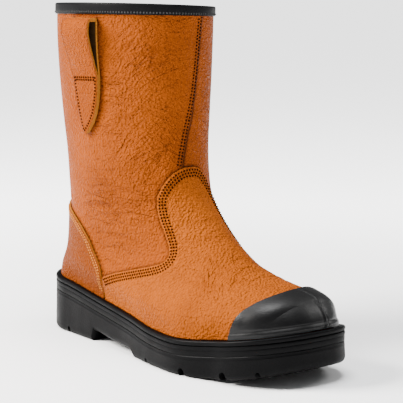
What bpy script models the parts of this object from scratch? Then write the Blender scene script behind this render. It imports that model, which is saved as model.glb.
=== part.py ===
"""Rigger boot for the right foot, built on the last's own sections.

Lengths are millimetres in the boot's frame: x runs from the back of the heel to the toe, y from
the outer side of the foot (negative) to the inner side (positive), z up from the floor. to_metres
moves the middle of the sole to the origin.
"""
import math
from collections import namedtuple

import bmesh
import bpy
import numpy as np

LENGTH = 311.0            # sole, heel to toe
HEEL_ARC = 40.0           # length of the sole's round heel
TOE_ARC = 62.0            # length of the sole's round toe
HEEL_POWER = 2.15         # roundness of the heel in plan
TOE_POWER = 2.35          # roundness of the toe in plan
TOE_SWING = 8.0           # how far the toe's tip leans to the inner side
SWING_START = 190.0
TOE_SPRING = 15.0         # height of the tread under the tip
SPRING_START = 216.0

WALL = 2.2                # leather and lining of the upper
OVERLAY = 1.7             # leather of vamp and counter
CAP_WALL = 2.6            # rubber of the toe cap
SEAT = 0.5                # clearance between curved pieces
LEDGE_CLEARANCE = 0.7     # between the lip and the overlays that stand on it
RECESS_CLEARANCE = 0.9    # between the sides of the recess and the foot of the upper
RECESS = 8.0              # depth of the sole's edge around the foot of the upper
MIDSOLE = 12.0            # height of the midsole's side
JOINT = 0.3               # clearance between midsole and outsole
INSOLE = 4.0
INSOLE_CLEARANCE = 4.4
BLEND_START = 2.5         # so far above the lip the upper's sides follow the sole's outline
BLEND_HEIGHT = 26.0       # and over this height they leave it

RIM_TILT = 2.6            # the collar stands higher on the outer side
BINDING_DROP = 7.0        # height of the collar binding
BINDING_WALL = 1.1
BINDING_TOP = 1.0
BINDING_ROUND = 0.6

STRAP = 1.8               # leather of the pull loops
LOOP_BULGE = 8.5
PLAN_REACH = 0.35         # share of a section's height over which its end meets the outline's end
BASE_EASE = 3.0           # and how soon it does so as the section nears the sole
SIDE_EASE = 8.0           # how soon a section's sides reach the sole's outline

COLUMNS = 26              # faces around the upper
CROWDING = 0.45           # how much closer they stand at the heel and the top line
CLOSING_REACH = 2.0       # stations over which the rings' angles narrow to the arches'
INSTEP_STATION = 5        # last of the evenly spaced rings
HEEL_RINGS = 11
ARCHES = 22
ARCH_SAMPLES = 80
VAMP_COLUMNS = 12
VAMP_ROWS = 15
CAP_COLUMNS = 14
CAP_ROWS = 10
COUNTER_COLUMNS = 12
COUNTER_ROWS = 6
COUNTER_START = 0.04      # share of the way to the heel at which the counter's front stands
COUNTER_SPREAD = 1.3      # how much closer its columns stand at the back of the heel
LOOP_COLUMNS = 4
EYE_ROWS = 7
END_STEPS = 8             # points round each end of the sole
MIDDLE_STEPS = 19         # and along each side between them
SHARP_ANGLE = 40          # degrees

HalfWidth = namedtuple("HalfWidth", "x outer inner")
SOLE_HALF_WIDTHS = [
    HalfWidth(40, 39.8, 39.8),
    HalfWidth(70, 42.2, 38.5),
    HalfWidth(95, 44.2, 38.0),
    HalfWidth(140, 50.2, 41.5),
    HalfWidth(180, 58.2, 49.0),
    HalfWidth(215, 60.8, 54.0),
    HalfWidth(249, 52.5, 52.0),
]

Level = namedtuple("Level", "x z")
LIP_LEVELS = [
    Level(0, 49), Level(45, 45), Level(95, 38), Level(140, 33), Level(180, 29),
    Level(215, 28.5), Level(250, 32), Level(280, 37), Level(311, 43),
]
TREAD_LEVELS = [
    Level(0, 0), Level(81, 0), Level(84, 9), Level(90, 9), Level(110, 6.5),
    Level(124, 6.3), Level(143, 4.8), Level(149.5, 0), Level(SPRING_START, 0),
]

Inset = namedtuple("Inset", "x inset")
UPPER_INSETS = [
    Inset(0, 6.5), Inset(95, 6.0), Inset(215, 6.5), Inset(280, 8.3), Inset(LENGTH, 9.0),
]

# Sections of the upper's outer form: rings on the shaft, planes that turn about the instep,
# upright planes on the foot and a second fan round the toe. Each lies between a front or top
# point and a back or base point.
Section = namedtuple(
    "Section", "top_x top_z base_x base_z outer inner widest top_power base_power")
SECTIONS = [
    Section(163.5, 281.5, 8.5, 279, 55.5, 55.5, 0.50, 2.05, 2.05),
    Section(163.0, 261.0, 8.5, 258, 55.5, 55.5, 0.50, 2.05, 2.05),
    Section(162.5, 238.0, 9.5, 233, 54.5, 54.5, 0.50, 2.05, 2.05),
    Section(162.0, 214.0, 11.5, 208, 53.0, 53.0, 0.50, 2.05, 2.05),
    Section(161.5, 191.0, 14.0, 183, 51.0, 51.0, 0.50, 2.05, 2.05),
    Section(161.5, 169.0, 17.0, 158, 49.0, 49.0, 0.50, 2.05, 2.05),
    Section(163.5, 150.0, 19.0, 133, 47.5, 47.5, 0.50, 2.05, 2.10),
    Section(169.0, 133.5, 19.5, 108, 45.5, 45.5, 0.50, 2.00, 2.15),
    Section(179.0, 119.0, 17.0, 86, 44.0, 43.0, 0.52, 2.00, 2.15),
    Section(191.5, 106.5, 13.5, 68, 43.0, 42.0, 0.55, 2.00, 2.20),
    Section(205.0, 96.0, 9.0, 53, 44.0, 42.0, 0.60, 2.00, 2.30),
    Section(218.5, 87.0, 7.2, 37, 48.0, 44.0, 0.65, 2.05, 2.60),
    Section(231.0, 79.5, 20.0, 12, 54.0, 48.0, 0.70, 2.10, 3.20),
    Section(243.5, 74.0, 95.0, 8, 57.0, 51.0, 0.75, 2.20, 3.80),
    Section(255.0, 70.0, 180.0, 8, 56.0, 51.0, 0.78, 2.30, 4.00),
    Section(265.5, 67.0, 254.0, 10, 51.0, 50.0, 0.80, 2.40, 4.00),
    Section(277.0, 64.0, 262.0, 11, 47.0, 47.0, 0.80, 2.40, 4.00),
    Section(288.0, 59.0, 266.0, 11, 44.0, 44.0, 0.80, 2.40, 4.00),
    Section(297.0, 50.5, 268.0, 11, 42.0, 42.0, 0.80, 2.40, 4.00),
    Section(301.5, 40.0, 269.0, 10, 40.0, 40.0, 0.80, 2.40, 4.00),
    Section(302.0, 27.0, 269.0, 8, 40.0, 40.0, 0.80, 2.40, 4.00),
]
LAST_STATION = len(SECTIONS) - 1

# Upper edge of the vamp: how far round from the top line it reaches at each station.
VampEdge = namedtuple("VampEdge", "station outer inner")
VAMP_EDGES = [
    VampEdge(5.83, 9, 0),
    VampEdge(5.90, 15, 5),
    VampEdge(6.05, 21, 9),
    VampEdge(6.30, 27.5, 12.5),
    VampEdge(6.60, 33, 16),
    VampEdge(7.05, 39, 20),
    VampEdge(7.50, 41.5, 22),
    VampEdge(8.10, 43, 24),
    VampEdge(9.05, 43.5, 25.5),
    VampEdge(9.75, 43.8, 27),
    VampEdge(10.30, 45.0, 30),
    VampEdge(10.65, 47.5, 35),
    VampEdge(10.82, 51.0, 42),
    VampEdge(10.88, 56.0, 52),
    VampEdge(10.91, 63.5, 62),
    VampEdge(10.95, 72.0, 71.5),
    VampEdge(11.04, 80.6, 80.4),
    VampEdge(11.35, 81.3, 81.3),
    VampEdge(11.90, 84.0, 84.0),
    VampEdge(12.00, 120, 120),
]
VAMP_LIP_STATION = 11.35  # from here on the vamp stands on the sole's lip

# Edge of the heel counter, from the sole's lip at its front up to the back of the heel.
CounterEdge = namedtuple("CounterEdge", "station angle")
COUNTER_EDGES = [
    CounterEdge(11.95, 85.2),
    CounterEdge(11.35, 82.4),
    CounterEdge(10.80, 82.2),
    CounterEdge(10.30, 85.0),
    CounterEdge(9.70, 90.0),
    CounterEdge(9.10, 95.5),
    CounterEdge(8.50, 101.5),
    CounterEdge(7.90, 110.0),
    CounterEdge(7.45, 121.0),
    CounterEdge(7.05, 138.0),
    CounterEdge(6.80, 158.0),
    CounterEdge(6.70, 180.0),
]

# Rear edge of the toe cap, from the outer side over the top to the inner side.
CapEdge = namedtuple("CapEdge", "angle station")
CAP_EDGES = [
    CapEdge(-90, 15.08), CapEdge(-64, 15.10), CapEdge(-51, 15.26), CapEdge(-36, 15.65),
    CapEdge(-22, 15.88), CapEdge(-8, 15.93), CapEdge(6, 15.78), CapEdge(20, 15.50),
    CapEdge(40, 15.15), CapEdge(64, 14.95), CapEdge(90, 14.90),
]

# Side of the midsole from its joint with the outsole up to the lip.
Ring = namedtuple("Ring", "inset below_lip")
MIDSOLE_SIDE = [
    Ring(1.2, MIDSOLE), Ring(0.6, 11.2), Ring(0.6, 7.7), Ring(1.8, 7.0), Ring(0.3, 6.3),
    Ring(0.3, 4.2), Ring(1.6, 3.5), Ring(0.6, 2.8), Ring(0.6, 0.8), Ring(1.4, 0.0),
]

# Rounded lower edge of the tread, from its side to its face.
TreadRow = namedtuple("TreadRow", "inset height")
TREAD_EDGE = [TreadRow(0.0, 5.5), TreadRow(1.1, 1.8), TreadRow(3.4, 0.0)]
TREAD_CHAMFER = 1.2       # the joint's edge on the outsole

# Pull loop: how far round it reaches to front and back at each station below the collar.
LoopRow = namedtuple("LoopRow", "station front back bulge")
LOOP_ROWS = [
    LoopRow(0.48, 75.2, 96.6, 0.30),
    LoopRow(0.56, 74.9, 96.8, 0.75),
    LoopRow(0.70, 74.8, 96.8, 0.95),
    LoopRow(0.95, 74.8, 96.5, 1.00),
    LoopRow(1.25, 74.8, 96.0, 0.84),
    LoopRow(1.60, 74.7, 95.6, 0.60),
    LoopRow(2.00, 74.5, 95.5, 0.29),
    LoopRow(2.30, 74.2, 95.5, 0.08),
    LoopRow(2.50, 74.0, 95.3, 0.00),
    LoopRow(2.90, 74.6, 94.6, 0.00),
    LoopRow(3.30, 76.0, 93.8, 0.00),
    LoopRow(3.70, 78.6, 93.0, 0.00),
    LoopRow(4.00, 81.8, 92.1, 0.00),
    LoopRow(4.22, 85.2, 91.2, 0.00),
    LoopRow(4.38, 88.2, 90.2, 0.00),
]
EYE_TOP = 0.60            # stations between which the loop stands open
EYE_BOTTOM = 2.36
EYE_FLARE = 6.0           # degrees that the eye's cutter reaches past the strap's edges

# Notches between the lugs, with how far each runs in from the outer and the inner side; the wide
# ones run right across from the outer side.
Notch = namedtuple("Notch", "x width height outer inner")
NOTCHES = [
    Notch(45.0, 3.0, 6.0, 16.0, 16.0),
    Notch(172.5, 2.6, 5.0, 18.0, 18.0),
    Notch(220.0, 5.2, 6.5, 130.0, 0.0),
    Notch(258.8, 5.2, 6.5, 130.0, 0.0),
    Notch(287.0, 2.6, 5.0, 14.0, 14.0),
]
NOTCH_TURNS = (35, 90, 145)   # degrees round the arched top
CUT_MARGIN = 10.0             # how far a cutter stands out of the sole

TAN = (0.50, 0.19, 0.055)
TAN_DEEP = (0.44, 0.155, 0.042)
BLACK_RUBBER = (0.016, 0.016, 0.017)
BLACK_TRIM = (0.013, 0.013, 0.014)
INSOLE_GREY = (0.10, 0.10, 0.105)


def smooth(knots, values, x):
    """Smooth curve through a short table."""
    knots = np.asarray(knots, float)
    values = np.asarray(values, float)
    x = np.clip(np.asarray(x, float), knots[0], knots[-1])
    k = np.clip(np.searchsorted(knots, x, side="right") - 1, 0, len(knots) - 2)
    slope = np.gradient(values, knots)
    span = knots[k + 1] - knots[k]
    t = (x - knots[k]) / span
    rise = t * t * (3 - 2 * t)
    lead = t * (1 - t) ** 2 * span * slope[k]
    tail = t * t * (t - 1) * span * slope[k + 1]
    return values[k] * (1 - rise) + values[k + 1] * rise + lead + tail


def column(table, name):
    return [getattr(row, name) for row in table]


def section_columns():
    """The sections' table as arrays by name."""
    return {name: np.array(column(SECTIONS, name)) for name in Section._fields}


SECTION_COLUMNS = section_columns()


def lip_level(x):
    return smooth(column(LIP_LEVELS, "x"), column(LIP_LEVELS, "z"), x)


def tread_level(x):
    level = np.interp(x, column(TREAD_LEVELS, "x"), column(TREAD_LEVELS, "z"))
    spring = np.clip((x - SPRING_START) / (LENGTH - SPRING_START), 0, 1)
    return level + TOE_SPRING * spring ** 2


def upper_inset(x):
    return smooth(column(UPPER_INSETS, "x"), column(UPPER_INSETS, "inset"), x)


def toe_swing(x):
    return TOE_SWING * np.clip((x - SWING_START) / (LENGTH - SWING_START), 0, 1) ** 2


def sole_edge(x, side, inset):
    """y of the sole's outline at x, moved in by inset; side is -1 outer, +1 inner."""
    x = np.asarray(x, float)
    name = "outer" if side < 0 else "inner"
    toe_start = LENGTH - TOE_ARC
    knots = column(SOLE_HALF_WIDTHS, "x")
    half = smooth(knots, column(SOLE_HALF_WIDTHS, name), x) - inset
    back = np.clip((HEEL_ARC - x) / (HEEL_ARC - inset), 0, 1)
    front = np.clip((x - toe_start) / (TOE_ARC - inset), 0, 1)
    heel = (1 - back ** HEEL_POWER) ** (1 / HEEL_POWER)
    toe = (1 - front ** TOE_POWER) ** (1 / TOE_POWER)
    start = toe_swing(toe_start)
    in_toe = toe_swing(x) + (side * half - start) * toe
    return np.where(x > toe_start, in_toe, side * half * heel)


def blend_to_sole(x, z):
    fade = np.clip(1 - (z - lip_level(x) - BLEND_START) / BLEND_HEIGHT, 0, 1)
    return fade * fade * (3 - 2 * fade)


def x_on_outline(x, share, section):
    """x at which the sole's outline is read, so that a section's own end meets its end."""
    heel_lean = section["base_x"] - upper_inset(0.0)
    at_base = np.clip(1 - (1 - share) / PLAN_REACH, 0, 1)
    base_mix = np.minimum(1, BASE_EASE * blend_to_sole(section["base_x"], section["base_z"]))
    toe_lean = LENGTH - upper_inset(LENGTH) - section["top_x"]
    at_top = np.clip(1 - share / PLAN_REACH, 0, 1)
    top_mix = np.minimum(1, BASE_EASE * blend_to_sole(section["top_x"], section["top_z"]))
    at_heel = section["base_x"] < HEEL_ARC
    return x - np.where(at_heel, heel_lean * at_base * base_mix, 0) + toe_lean * at_top * top_mix


def rim_wave(station, angle):
    return -RIM_TILT * np.sin(angle) * np.clip(1 - station, 0, 1)


def form(station, angle):
    """Point of the upper's outer form; angle 0 is the top line, negative the outer side."""
    station, angle = np.broadcast_arrays(np.asarray(station, float), np.asarray(angle, float))
    angle = (angle + math.pi) % (2 * math.pi) - math.pi
    index = np.arange(len(SECTIONS))
    value = {name: smooth(index, values, station) for name, values in SECTION_COLUMNS.items()}
    turn = np.abs(angle)
    power = np.where(turn <= math.pi / 2, value["top_power"], value["base_power"])
    across = np.clip(np.sin(turn), 0, 1) ** (2 / power)
    along = np.abs(np.cos(turn)) ** (2 / power)
    above = value["widest"] * (1 - along)
    below = value["widest"] + (1 - value["widest"]) * along
    share = np.where(turn <= math.pi / 2, above, below)
    x = value["top_x"] + (value["base_x"] - value["top_x"]) * share
    z = value["top_z"] + (value["base_z"] - value["top_z"]) * share
    half = np.where(angle < 0, -value["outer"], value["inner"]) * across
    plan_x = x_on_outline(x, share, value)
    inset = upper_inset(plan_x)
    outline = np.where(angle < 0, sole_edge(plan_x, -1, inset), sole_edge(plan_x, 1, inset))
    edge = (outline - toe_swing(plan_x)) * np.minimum(1, SIDE_EASE * across)
    mix = blend_to_sole(x, z)
    y = toe_swing(x) + half * (1 - mix) + edge * mix
    return np.stack([x, y, z + rim_wave(station, angle)], axis=-1)


def surface(station, angle, offset=0.0):
    """The form moved along its normal: positive is outward."""
    point = form(station, angle)
    if offset == 0:
        return point
    step = 0.02
    turn = math.radians(1.0)
    ahead = np.clip(np.asarray(station, float) + step, 0, LAST_STATION)
    behind = np.clip(np.asarray(station, float) - step, 0, LAST_STATION)
    down = form(ahead, angle) - form(behind, angle)
    around = form(station, angle + turn) - form(station, angle - turn)
    normal = np.cross(down, around)
    length = np.linalg.norm(normal, axis=-1, keepdims=True)
    return point + offset * normal / np.maximum(length, 1e-9)


def foot_line(x):
    """Level at which the wall of the upper ends, just over the floor of the recess."""
    return lip_level(x) - RECESS + SEAT


def wall_line(x):
    """Level up to which the wall stands upright, just over the lip."""
    return lip_level(x) + BLEND_START / 2


def ledge_line(x):
    """Level at which an overlay ends, just over the lip."""
    return lip_level(x) + LEDGE_CLEARANCE


def bisect(test, low, high):
    """Array root of a falling function."""
    low = np.array(low, float)
    high = np.array(high, float)
    for _ in range(26):
        middle = (low + high) / 2
        over = test(middle) > 0
        low = np.where(over, middle, low)
        high = np.where(over, high, middle)
    return (low + high) / 2


def foot_angle(station, side, offset, line):
    """Angle at which a section of the form comes down to a level line."""
    station = np.asarray(station, float)

    def height(angle):
        point = surface(station, side * angle, offset)
        return point[..., 2] - line(point[..., 0])

    return bisect(height, np.zeros(station.shape), np.full(station.shape, math.pi))


def end_station(angle, low, offset, line):
    """Station at which the form's back or tip comes down to a level line."""

    def height(station):
        point = surface(station, np.array(angle), offset)
        return point[..., 2] - line(point[..., 0])

    return float(bisect(height, low, LAST_STATION if angle == 0 else 11.5))


def heel_station(offset, line):
    return end_station(math.pi, 8.0, offset, line)


def toe_station(offset, line):
    return end_station(0.0, 17.0, offset, line)


def spread_angles(outer, inner, count):
    """Steps from the outer side to the top line and on to the inner side."""
    share = np.linspace(0, 1, count // 2 + 1)
    sides = []
    for limit in (outer, inner):
        crowd = CROWDING * np.clip(2 * limit / math.pi - 1, 0, 1)
        sides.append(limit * (share - crowd * np.sin(2 * math.pi * share) / (2 * math.pi)))
    return np.concatenate([-sides[0][::-1], sides[1][1:]])


def to_metres(points):
    moved = np.asarray(points, float) - np.array([LENGTH / 2, 0, 0])
    return moved * 0.001


def new_object(name, points, faces, material):
    """Closed object from points in millimetres, with its shared points merged."""
    mesh = bpy.data.meshes.new(name)
    mesh.from_pydata([tuple(p) for p in to_metres(points)], [], faces)
    shape = bmesh.new()
    shape.from_mesh(mesh)
    bmesh.ops.remove_doubles(shape, verts=shape.verts, dist=2e-6)
    bmesh.ops.dissolve_degenerate(shape, edges=shape.edges, dist=1e-6)
    bmesh.ops.triangulate(shape, faces=[f for f in shape.faces if len(f.verts) > 3])
    bmesh.ops.recalc_face_normals(shape, faces=shape.faces)
    shape.to_mesh(mesh)
    shape.free()
    mesh.shade_smooth()
    mesh.set_sharp_from_angle(angle=math.radians(SHARP_ANGLE))
    mesh.materials.append(material)
    made = bpy.data.objects.new(name, mesh)
    bpy.context.scene.collection.objects.link(made)
    return made


def make_material(name, colour, roughness):
    material = bpy.data.materials.new(name)
    material.use_nodes = True
    shader = material.node_tree.nodes["Principled BSDF"]
    shader.inputs["Base Color"].default_value = (*colour, 1.0)
    shader.inputs["Roughness"].default_value = roughness
    shader.inputs["Metallic"].default_value = 0.0
    return material


class Mesh:
    """Points and faces gathered grid by grid."""

    def __init__(self):
        self.points = []
        self.faces = []

    def grid(self, rows):
        """Adds a grid of points with the faces between them; returns its point numbers."""
        rows = np.asarray(rows, float)
        count, width = rows.shape[:2]
        first = len(self.points)
        self.points.extend(rows.reshape(-1, 3))
        number = first + np.arange(count * width).reshape(count, width)
        for i in range(count - 1):
            self.strip(number[i], number[i + 1])
        return number

    def strip(self, one, other):
        """Faces between two lines of point numbers."""
        for j in range(len(one) - 1):
            self.faces.append((int(one[j]), int(one[j + 1]), int(other[j + 1]), int(other[j])))


def shell(name, outside, inside, open_rows, material):
    """Solid between two grids; rows before open_rows run all the way round."""
    mesh = Mesh()
    outer = mesh.grid(outside)
    inner = mesh.grid(inside)
    mesh.strip(outer[0], inner[0])
    mesh.strip(outer[-1], inner[-1])
    for edge in (0, -1):
        mesh.strip(outer[open_rows:, edge], inner[open_rows:, edge])
    return new_object(name, mesh.points, mesh.faces, material)


def arch_stations(start, end, count, offset, line):
    """Stations from start to end, evenly spread along the top line and the foot together."""
    fine = np.linspace(start, end, ARCH_SAMPLES)
    foot = surface(fine, -foot_angle(fine, -1, offset, line), offset)
    top = surface(fine, np.zeros(ARCH_SAMPLES), offset)
    steps = np.linalg.norm(np.diff(foot, axis=0), axis=1)
    steps += np.linalg.norm(np.diff(top, axis=0), axis=1)
    travel = np.concatenate([[0], np.cumsum(steps)])
    return np.interp(np.linspace(0, travel[-1], count), travel, fine)


def last_grid(offset):
    """Stations and angles of the upper's points: rings down to the heel, then arches."""
    heel = heel_station(offset, foot_line)
    toe = toe_station(offset, foot_line)
    lower = np.linspace(INSTEP_STATION, heel, HEEL_RINGS)[1:]
    rings = np.concatenate([np.arange(INSTEP_STATION + 1), lower])
    arches = arch_stations(heel, toe, ARCHES, offset, foot_line)[1:-1]
    foot = [foot_angle(arches, side, offset, foot_line) for side in (-1, 1)]
    past_heel = (arches - heel) / CLOSING_REACH
    closing = math.pi * (1 - past_heel / 2)
    ledge = []
    for side, low in zip((-1, 1), foot):
        high = foot_angle(arches, side, offset, wall_line)
        ledge.append(low + (high - low) * np.clip(BASE_EASE * past_heel, 0, 1))
    ring = spread_angles(math.pi, math.pi, COLUMNS)
    angles = [np.concatenate([[-math.pi], ring, [math.pi]]) for _ in rings]
    for i, limit in enumerate(closing):
        low, high = ledge[0][i], ledge[1][i]
        spread = spread_angles(max(low, limit), max(high, limit), COLUMNS)
        spread = np.clip(spread, -low, high)
        angles.append(np.concatenate([[-foot[0][i]], spread, [foot[1][i]]]))
    angles.append(np.zeros(COLUMNS + 3))
    stations = np.concatenate([rings, arches, [toe]])
    return stations[:, None], np.array(angles), len(rings) - 1


def make_upper(leather):
    """Hollow wall, open at the collar and underneath."""
    stations, angles, open_rows = last_grid(0.0)
    inner_stations, inner_angles, _ = last_grid(-WALL)
    inside = surface(inner_stations, inner_angles, -WALL)
    return shell("upper", surface(stations, angles), inside, open_rows, leather)


def make_form(name, outside, inside, material):
    """Hollow solid between two larger offsets of the upper's own points."""
    stations, angles, open_rows = last_grid(0.0)
    outer = surface(stations, angles, outside)
    inner = surface(stations, angles, inside)
    return shell(name, outer, inner, open_rows, material)


def make_overlay(name, base, thickness, region_rows, open_rows, material):
    """Piece of a larger form: what its region keeps between two offsets."""
    overlay = make_form(name, base + thickness, base, material)
    margin = 1.0
    outer = region_rows(base + thickness + margin)
    inner = region_rows(base - margin)
    region = shell(name + "_region", outer, inner, open_rows, material)
    combine(overlay, region, "INTERSECT")
    return overlay


def vamp_rows(offset):
    toe = toe_station(offset, ledge_line)
    stations = column(VAMP_EDGES, "station")
    front = arch_stations(stations[-1], toe, VAMP_ROWS, offset, ledge_line)[:-1]
    row_stations = np.concatenate([stations[:-1], front])
    limits = []
    for side, name in ((-1, "outer"), (1, "inner")):
        edge = np.radians(np.interp(row_stations, stations, column(VAMP_EDGES, name)))
        ledge = foot_angle(row_stations, side, offset, ledge_line)
        on_lip = row_stations > VAMP_LIP_STATION
        limits.append(np.where(on_lip, np.minimum(edge, ledge), edge))
    angles = [spread_angles(low, high, VAMP_COLUMNS) for low, high in zip(*limits)]
    rows = list(surface(row_stations[:, None], np.array(angles), offset))
    rows.append(surface(toe, np.zeros(VAMP_COLUMNS + 1), offset))
    return rows


def make_vamp(leather):
    return make_overlay("vamp", SEAT, OVERLAY, vamp_rows, 0, leather)


def cap_rows(offset):
    """Rows from the cap's rear edge to the tip."""
    toe = toe_station(offset, ledge_line)
    angles = column(CAP_EDGES, "angle")
    edge = column(CAP_EDGES, "station")
    shares = np.linspace(0, 1, CAP_ROWS)[:-1]
    outer = foot_angle(edge[0] + (toe - edge[0]) * shares, -1, offset, ledge_line)
    inner = foot_angle(edge[-1] + (toe - edge[-1]) * shares, 1, offset, ledge_line)
    turn = np.array([spread_angles(*limits, CAP_COLUMNS) for limits in zip(outer, inner)])
    start = smooth(angles, edge, np.degrees(turn))
    rows = list(surface(start + (toe - start) * shares[:, None], turn, offset))
    rows.append(surface(toe, np.zeros(CAP_COLUMNS + 1), offset))
    return rows


def make_toe_cap(rubber):
    return make_overlay("toe_cap", 2 * SEAT + OVERLAY, CAP_WALL, cap_rows, 0, rubber)


def counter_rows(offset):
    """Columns from the lip up to the counter's edge, round the heel from side to side."""
    back = heel_station(offset, ledge_line)
    front = COUNTER_EDGES[0].station
    reach = np.linspace(0, 1, len(COUNTER_EDGES))
    spread = np.linspace(1, 0, COUNTER_COLUMNS) ** COUNTER_SPREAD
    around = 1 - (1 - COUNTER_START) * spread
    climb = np.linspace(0, 1, COUNTER_ROWS)
    columns = []
    for side, shares in ((-1, around), (1, around[::-1][1:])):
        low = front + (back - front) * shares
        low_angle = foot_angle(low, side, offset, ledge_line)
        low_angle[shares == 1] = math.pi
        high = smooth(reach, column(COUNTER_EDGES, "station"), shares)
        high_angle = np.radians(smooth(reach, column(COUNTER_EDGES, "angle"), shares))
        station = low[:, None] + np.outer(high - low, climb)
        angle = low_angle[:, None] + np.outer(high_angle - low_angle, climb)
        columns.extend(surface(station, side * angle, offset))
    return columns


def make_heel_counter(leather):
    return make_overlay("heel_counter", SEAT, OVERLAY, counter_rows, 0, leather)


def make_collar_binding(trim):
    """Folded strip over the rim: a closed U that runs round the collar."""
    outer = SEAT + BINDING_WALL
    inner = -WALL - SEAT
    far = inner - BINDING_WALL
    crown = BINDING_TOP + BINDING_ROUND
    profile = [
        (outer, -BINDING_DROP), (outer, BINDING_TOP), (outer - BINDING_ROUND, crown),
        (far + BINDING_ROUND, crown), (far, BINDING_TOP), (far, -BINDING_DROP),
        (inner, -BINDING_DROP), (inner, JOINT), (SEAT, JOINT), (SEAT, -BINDING_DROP),
        (outer, -BINDING_DROP),
    ]
    spacing = SECTIONS[0].top_z - SECTIONS[1].top_z
    angles = spread_angles(math.pi, math.pi, COLUMNS)
    rows = []
    for offset, height in profile:
        line = surface(max(0.0, -height / spacing), angles, offset)
        line[:, 2] += max(0.0, height)
        rows.append(line)
    mesh = Mesh()
    mesh.grid(rows)
    return new_object("collar_binding", mesh.points, mesh.faces, trim)


def loop_block(name, side, rows, near, far, flare, material):
    """Solid between two heights over the shaft, across the strap's width."""
    outside = []
    inside = []
    for row in rows:
        angle = np.radians(np.linspace(row.front - flare, row.back + flare, LOOP_COLUMNS))
        angle = side * angle
        inside.append(surface(row.station, angle, near(row)))
        outside.append(surface(row.station, angle, far(row)))
    return shell(name, outside, inside, 0, material)


def make_pull_loop(name, side, leather):
    """Folded strap: an open eye under the collar over a tongue sewn to the shaft."""

    def seat(row):
        return SEAT

    def face(row):
        return SEAT + 2 * STRAP + LOOP_BULGE * row.bulge

    def eye_face(row):
        return SEAT + STRAP + LOOP_BULGE * row.bulge

    def eye_seat(row):
        return SEAT + STRAP

    strap = loop_block(name, side, LOOP_ROWS, seat, face, 0.0, leather)
    stations = column(LOOP_ROWS, "station")
    eye_rows = []
    for station in np.linspace(EYE_TOP, EYE_BOTTOM, EYE_ROWS):
        values = [np.interp(station, stations, column(LOOP_ROWS, f)) for f in LoopRow._fields[1:]]
        eye_rows.append(LoopRow(station, *values))
    eye = loop_block(name + "_eye", side, eye_rows, eye_seat, eye_face, EYE_FLARE, leather)
    combine(strap, eye, "DIFFERENCE")
    return strap


def combine(target, cutter, operation):
    cutter.hide_render = True
    cutter.display_type = "WIRE"
    boolean = target.modifiers.new(operation.lower(), "BOOLEAN")
    boolean.object = cutter
    boolean.operation = operation
    boolean.solver = "EXACT"


def outline_steps(heel_inset, toe_inset):
    """x of the points along one side of the sole, closer together in the round ends."""
    ends = np.linspace(0, math.pi / 2, END_STEPS)
    heel_reach = HEEL_ARC - heel_inset
    heel = HEEL_ARC - heel_reach * np.cos(ends) ** (2 / HEEL_POWER)
    middle = np.linspace(HEEL_ARC, LENGTH - TOE_ARC, MIDDLE_STEPS)[1:-1]
    toe_reach = TOE_ARC - toe_inset
    toe = LENGTH - TOE_ARC + toe_reach * np.sin(ends) ** (2 / TOE_POWER)
    return np.concatenate([heel, middle, toe])


def sole_ring(inset, level, extra=()):
    """The two sides of one ring round the sole; inset and level are functions of x."""
    x = outline_steps(float(inset(0.0)), float(inset(LENGTH)))
    x = np.sort(np.concatenate([x, extra]))
    sides = [np.stack([x, sole_edge(x, side, inset(x)), level(x)], axis=1) for side in (-1, 1)]
    for side in sides:
        side[0, 1] = 0.0
        side[-1, 1] = toe_swing(x[-1])
    return sides


def sole_solid(name, rings, material):
    """Closed solid from rings, the first and the last one closed straight across."""
    mesh = Mesh()
    first = [mesh.grid([ring[k] for ring in rings]) for k in (0, 1)]
    mesh.strip(first[0][0], first[1][0])
    mesh.strip(first[0][-1], first[1][-1])
    return new_object(name, mesh.points, mesh.faces, material)


def constant(value):
    return lambda x: value + 0 * np.asarray(x, float)


def below_lip(depth):
    return lambda x: lip_level(x) - depth


def over_tread(height):
    return lambda x: tread_level(x) + height


def make_midsole(rubber):
    """Side with two beads and grooves, and a recess that takes the foot of the upper."""
    rings = [sole_ring(constant(r.inset), below_lip(r.below_lip)) for r in MIDSOLE_SIDE]

    def inset(x):
        return upper_inset(x) - RECESS_CLEARANCE

    recess = [sole_ring(inset, below_lip(depth)) for depth in (0.0, RECESS)]
    return sole_solid("midsole", rings + recess, rubber)


def make_outsole(rubber):
    """Heel, arch, toe spring and tread, with the notches between its lugs."""
    steps = column(TREAD_LEVELS, "x")[1:-1]
    joint = MIDSOLE + JOINT
    top = [
        sole_ring(constant(TREAD_CHAMFER), below_lip(joint), steps),
        sole_ring(constant(0.0), below_lip(joint + TREAD_CHAMFER), steps),
    ]
    edge = [sole_ring(constant(row.inset), over_tread(row.height), steps) for row in TREAD_EDGE]
    outsole = sole_solid("outsole", top + edge, rubber)
    combine(outsole, make_notches(rubber), "DIFFERENCE")
    return outsole


def notch_arch(notch):
    """Outline of a notch seen from the side of the sole, with an arched top."""
    half = notch.width / 2
    spring = float(tread_level(notch.x)) + notch.height - half
    arch = [(-half, -CUT_MARGIN), (-half, spring)]
    for turn in np.radians(NOTCH_TURNS):
        arch.append((-half * math.cos(turn), spring + half * math.sin(turn)))
    arch += [(half, spring), (half, -CUT_MARGIN)]
    return arch


def make_notches(rubber):
    """Cutters of the notches, joined in one object without touching each other."""
    mesh = Mesh()
    for notch in NOTCHES:
        arch = notch_arch(notch)
        for side, reach in ((-1, notch.outer), (1, notch.inner)):
            if reach == 0:
                continue
            edge = abs(float(sole_edge(notch.x, side, 0.0)))
            ends = (side * (edge + CUT_MARGIN), side * (edge - reach))
            number = mesh.grid([[(notch.x + dx, y, z) for dx, z in arch] for y in ends])
            mesh.faces.append(tuple(int(n) for n in number[0]))
            mesh.faces.append(tuple(int(n) for n in number[1][::-1]))
            mesh.strip(number[:, -1], number[:, 0])
    return new_object("notches", mesh.points, mesh.faces, rubber)


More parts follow.
